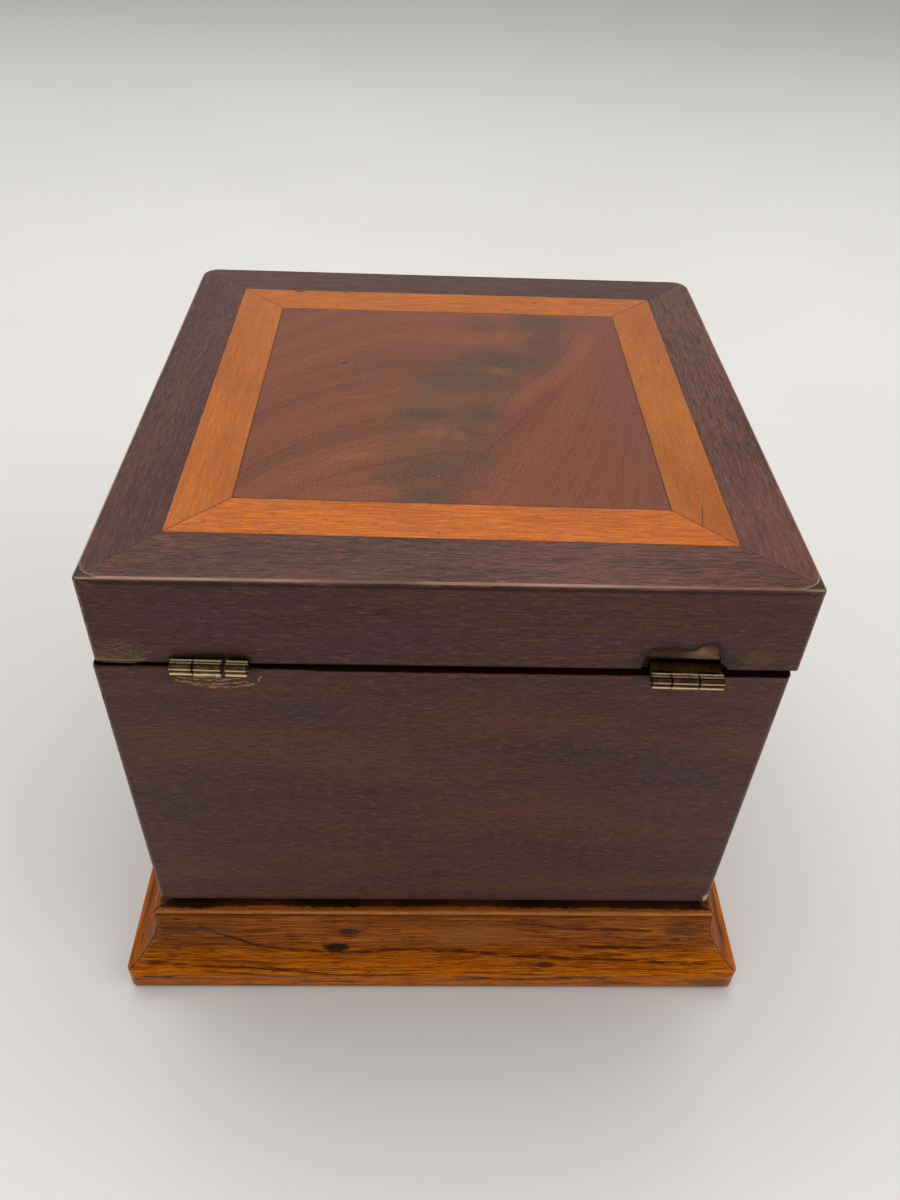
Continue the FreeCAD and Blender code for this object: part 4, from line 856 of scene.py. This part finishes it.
def floor_material():
    """A plain pale floor, brighter near the camera and darker far behind the caddy: painted light over the
    caddy's shadow near the camera, painted shade far behind.
    """
    graph = Graph("pale_floor", Specular_IOR_Level=0.25)
    cloud = graph.noise(graph.x * 0.003, graph.y * 0.003, 0.0, detail=3.0)
    graph.colour = graph.mix(graph.step(cloud, 0.3, 0.7), (0.68, 0.665, 0.645, 1.0),
                             (0.72, 0.705, 0.69, 1.0))
    # painted shade far behind the caddy
    graph.wash(graph.y, -250.0, -1200.0, 0.9, (0.42, 0.42, 0.405, 1.0))
    # painted light near the camera, over the caddy's shadow
    graph.wash(graph.y, 60.0, 150.0, 0.9, (0.83, 0.81, 0.785, 1.0))
    return graph.finish(0.55)


# ---------------------------------------------------------------- painting the CAD nodes

def paint(material, *names):
    """Give CAD nodes a material."""
    for name in names:
        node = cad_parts[name]
        if not node.material_slots:
            node.data.materials.append(None)
        node.material_slots[0].material = material


for index, side in enumerate(SIDES):
    paint(border(side, index), "lid_border_" + side)
    paint(satinwood(side, index), "lid_band_" + side)
    paint(lid_veneer(side, index), "lid_veneer_" + side)
    paint(case_veneer(side, index), "case_veneer_" + side)
    paint(plinth(side, index), "plinth_" + side)
paint(flame_panel(), "lid_centre_panel")

CARCASE = ((70, 42, 24), (124, 80, 48), (148, 100, 62))
LINING = ((70, 38, 22), (122, 72, 42), (140, 86, 52))
DARK_BASE = ((14, 9, 7), (28, 17, 12), (38, 24, 16))
EBONY = ((8, 6, 5), (20, 14, 11), (30, 20, 15))

carcase_x = plain_wood("carcase_x", "xzy", 3.0, CARCASE, PLAIN)
carcase_y = plain_wood("carcase_y", "yzx", 8.0, CARCASE, PLAIN)
lining_x = plain_wood("lining_x", "xzy", 14.0, LINING, WAXED, rough=0.42)
lining_y = plain_wood("lining_y", "yzx", 19.0, LINING, WAXED, rough=0.42)
paint(carcase_x, "case_wall_front", "case_wall_back", "lid_wall_front")
paint(carcase_y, "case_wall_left", "case_wall_right", "lid_wall_left", "lid_wall_right")
paint(raw_core(), "lid_wall_back")
paint(plain_wood("top_board", "xyz", 23.0, CARCASE, PLAIN), "lid_top_board")
paint(plain_wood("blocks", "zxy", 27.0, CARCASE, PLAIN), "glue_blocks")
paint(plain_wood("base", "xyz", 29.0, DARK_BASE, PLAIN, rough=0.6), "base_board")
paint(lining_x, "lining_front", "lining_back")
paint(lining_y, "lining_left", "lining_right")
paint(plain_wood("inner_lid", "xyz", 33.0, LINING, WAXED, rough=0.40), "inner_lid_panel")
paint(plain_wood("ebonised", "zxy", 36.0, EBONY, POLISH, rough=0.30, lines=0.2), "inner_lid_knob")

paint(hinge_metal("left", (116, 86, 48), (72, 50, 26), (22, 14, 9), (232, 200, 166)),
      "hinge_left_case_leaf", "hinge_left_lid_leaf")
paint(hinge_metal("right", (156, 126, 72), (92, 72, 40), (26, 18, 11), (236, 214, 180)),
      "hinge_right_case_leaf", "hinge_right_lid_leaf")
lock_brass = plain_metal("lock_brass", (214, 176, 104), (158, 124, 66), (62, 44, 22), 0.30, tarnish=0.35)
screw_brass = plain_metal("screw_brass", (196, 160, 94), (128, 98, 52), (40, 28, 16), 0.34)
steel = plain_metal("old_steel", (150, 146, 140), (92, 88, 84), (40, 30, 24), 0.36)
foil = plain_metal("foil", (168, 168, 166), (120, 120, 118), (70, 68, 64), 0.34, edge_radius=0.0008,
                   tarnish=0.3)
paint(screw_brass, "hinge_case_screws", "hinge_lid_screws", "lock_screws", "link_plate_screws")
paint(lock_brass, "escutcheon", "lock_plate", "lock_cap", "lock_bolt", "link_plate")
paint(steel, "lock_spring", "lock_drill_pin")
paint(plain_metal("pin_steel", (74, 66, 56), (38, 31, 26), (14, 10, 8), 0.46), "hinge_left_pin",
      "hinge_right_pin")
paint(foil, "foil_lining")


# ---------------------------------------------------------------- floor, light and camera

def make_floor():
    half = 4.0
    mesh = bpy.data.meshes.new("floor")
    corners = [(-half, -half, 0), (half, -half, 0), (half, half, 0), (-half, half, 0)]
    mesh.from_pydata(corners, [], [(0, 1, 2, 3)])
    mesh.materials.append(floor_material())
    floor = bpy.data.objects.new("floor", mesh)
    bpy.context.scene.collection.objects.link(floor)


def area_light(name, place, target, size, power, colour):
    """A square soft light that faces a point."""
    light = bpy.data.lights.new(name, "AREA")
    light.shape = "SQUARE"
    light.size = size
    light.energy = power
    light.color = colour
    lamp = bpy.data.objects.new(name, light)
    lamp.location = place
    lamp.rotation_mode = "QUATERNION"
    lamp.rotation_quaternion = (Vector(target) - Vector(place)).to_track_quat("-Z", "Y")
    bpy.context.scene.collection.objects.link(lamp)


def make_world(colour, strength):
    world = bpy.data.worlds.new("studio")
    world.use_nodes = True
    background = world.node_tree.nodes["Background"]
    background.inputs["Color"].default_value = colour
    background.inputs["Strength"].default_value = strength
    bpy.context.scene.world = world


def make_camera():
    """The camera stands behind the caddy and looks down on its back and lid."""
    yaw, pitch, roll = 0.0481, 0.7266, 0.0481
    ahead = Vector((-math.sin(yaw) * math.cos(pitch), -math.cos(yaw) * math.cos(pitch), -math.sin(pitch)))
    level = Vector((-math.cos(yaw), math.sin(yaw), 0.0))
    upright = level.cross(ahead)
    right = level * math.cos(roll) + upright * math.sin(roll)
    up = upright * math.cos(roll) - level * math.sin(roll)
    camera_data = bpy.data.cameras.new("camera")
    camera_data.sensor_width = 36.0
    camera_data.lens = 29.235
    camera_data.shift_x = -0.0053
    camera_data.shift_y = 0.0103
    camera_data.clip_start = 0.01
    camera_data.clip_end = 20.0
    camera = bpy.data.objects.new("camera", camera_data)
    place = Vector((0.00464, 0.18589, 0.22139))
    turn = Matrix((right, up, -ahead)).transposed().to_4x4()
    camera.matrix_world = Matrix.Translation(place) @ turn
    bpy.context.scene.collection.objects.link(camera)
    bpy.context.scene.camera = camera


make_floor()
make_world((0.96, 0.965, 0.96, 1.0), 0.60)
area_light("overhead", (0.10, -0.45, 1.25), (0.0, 0.0, 0.05), 1.2, 10.4, (1.0, 0.98, 0.95))
area_light("window", (-1.2, 0.5, 0.9), (0.0, 0.0, 0.06), 0.9, 5.6, (1.0, 0.99, 0.97))
make_camera()
bpy.context.scene.view_settings.view_transform = "Standard"
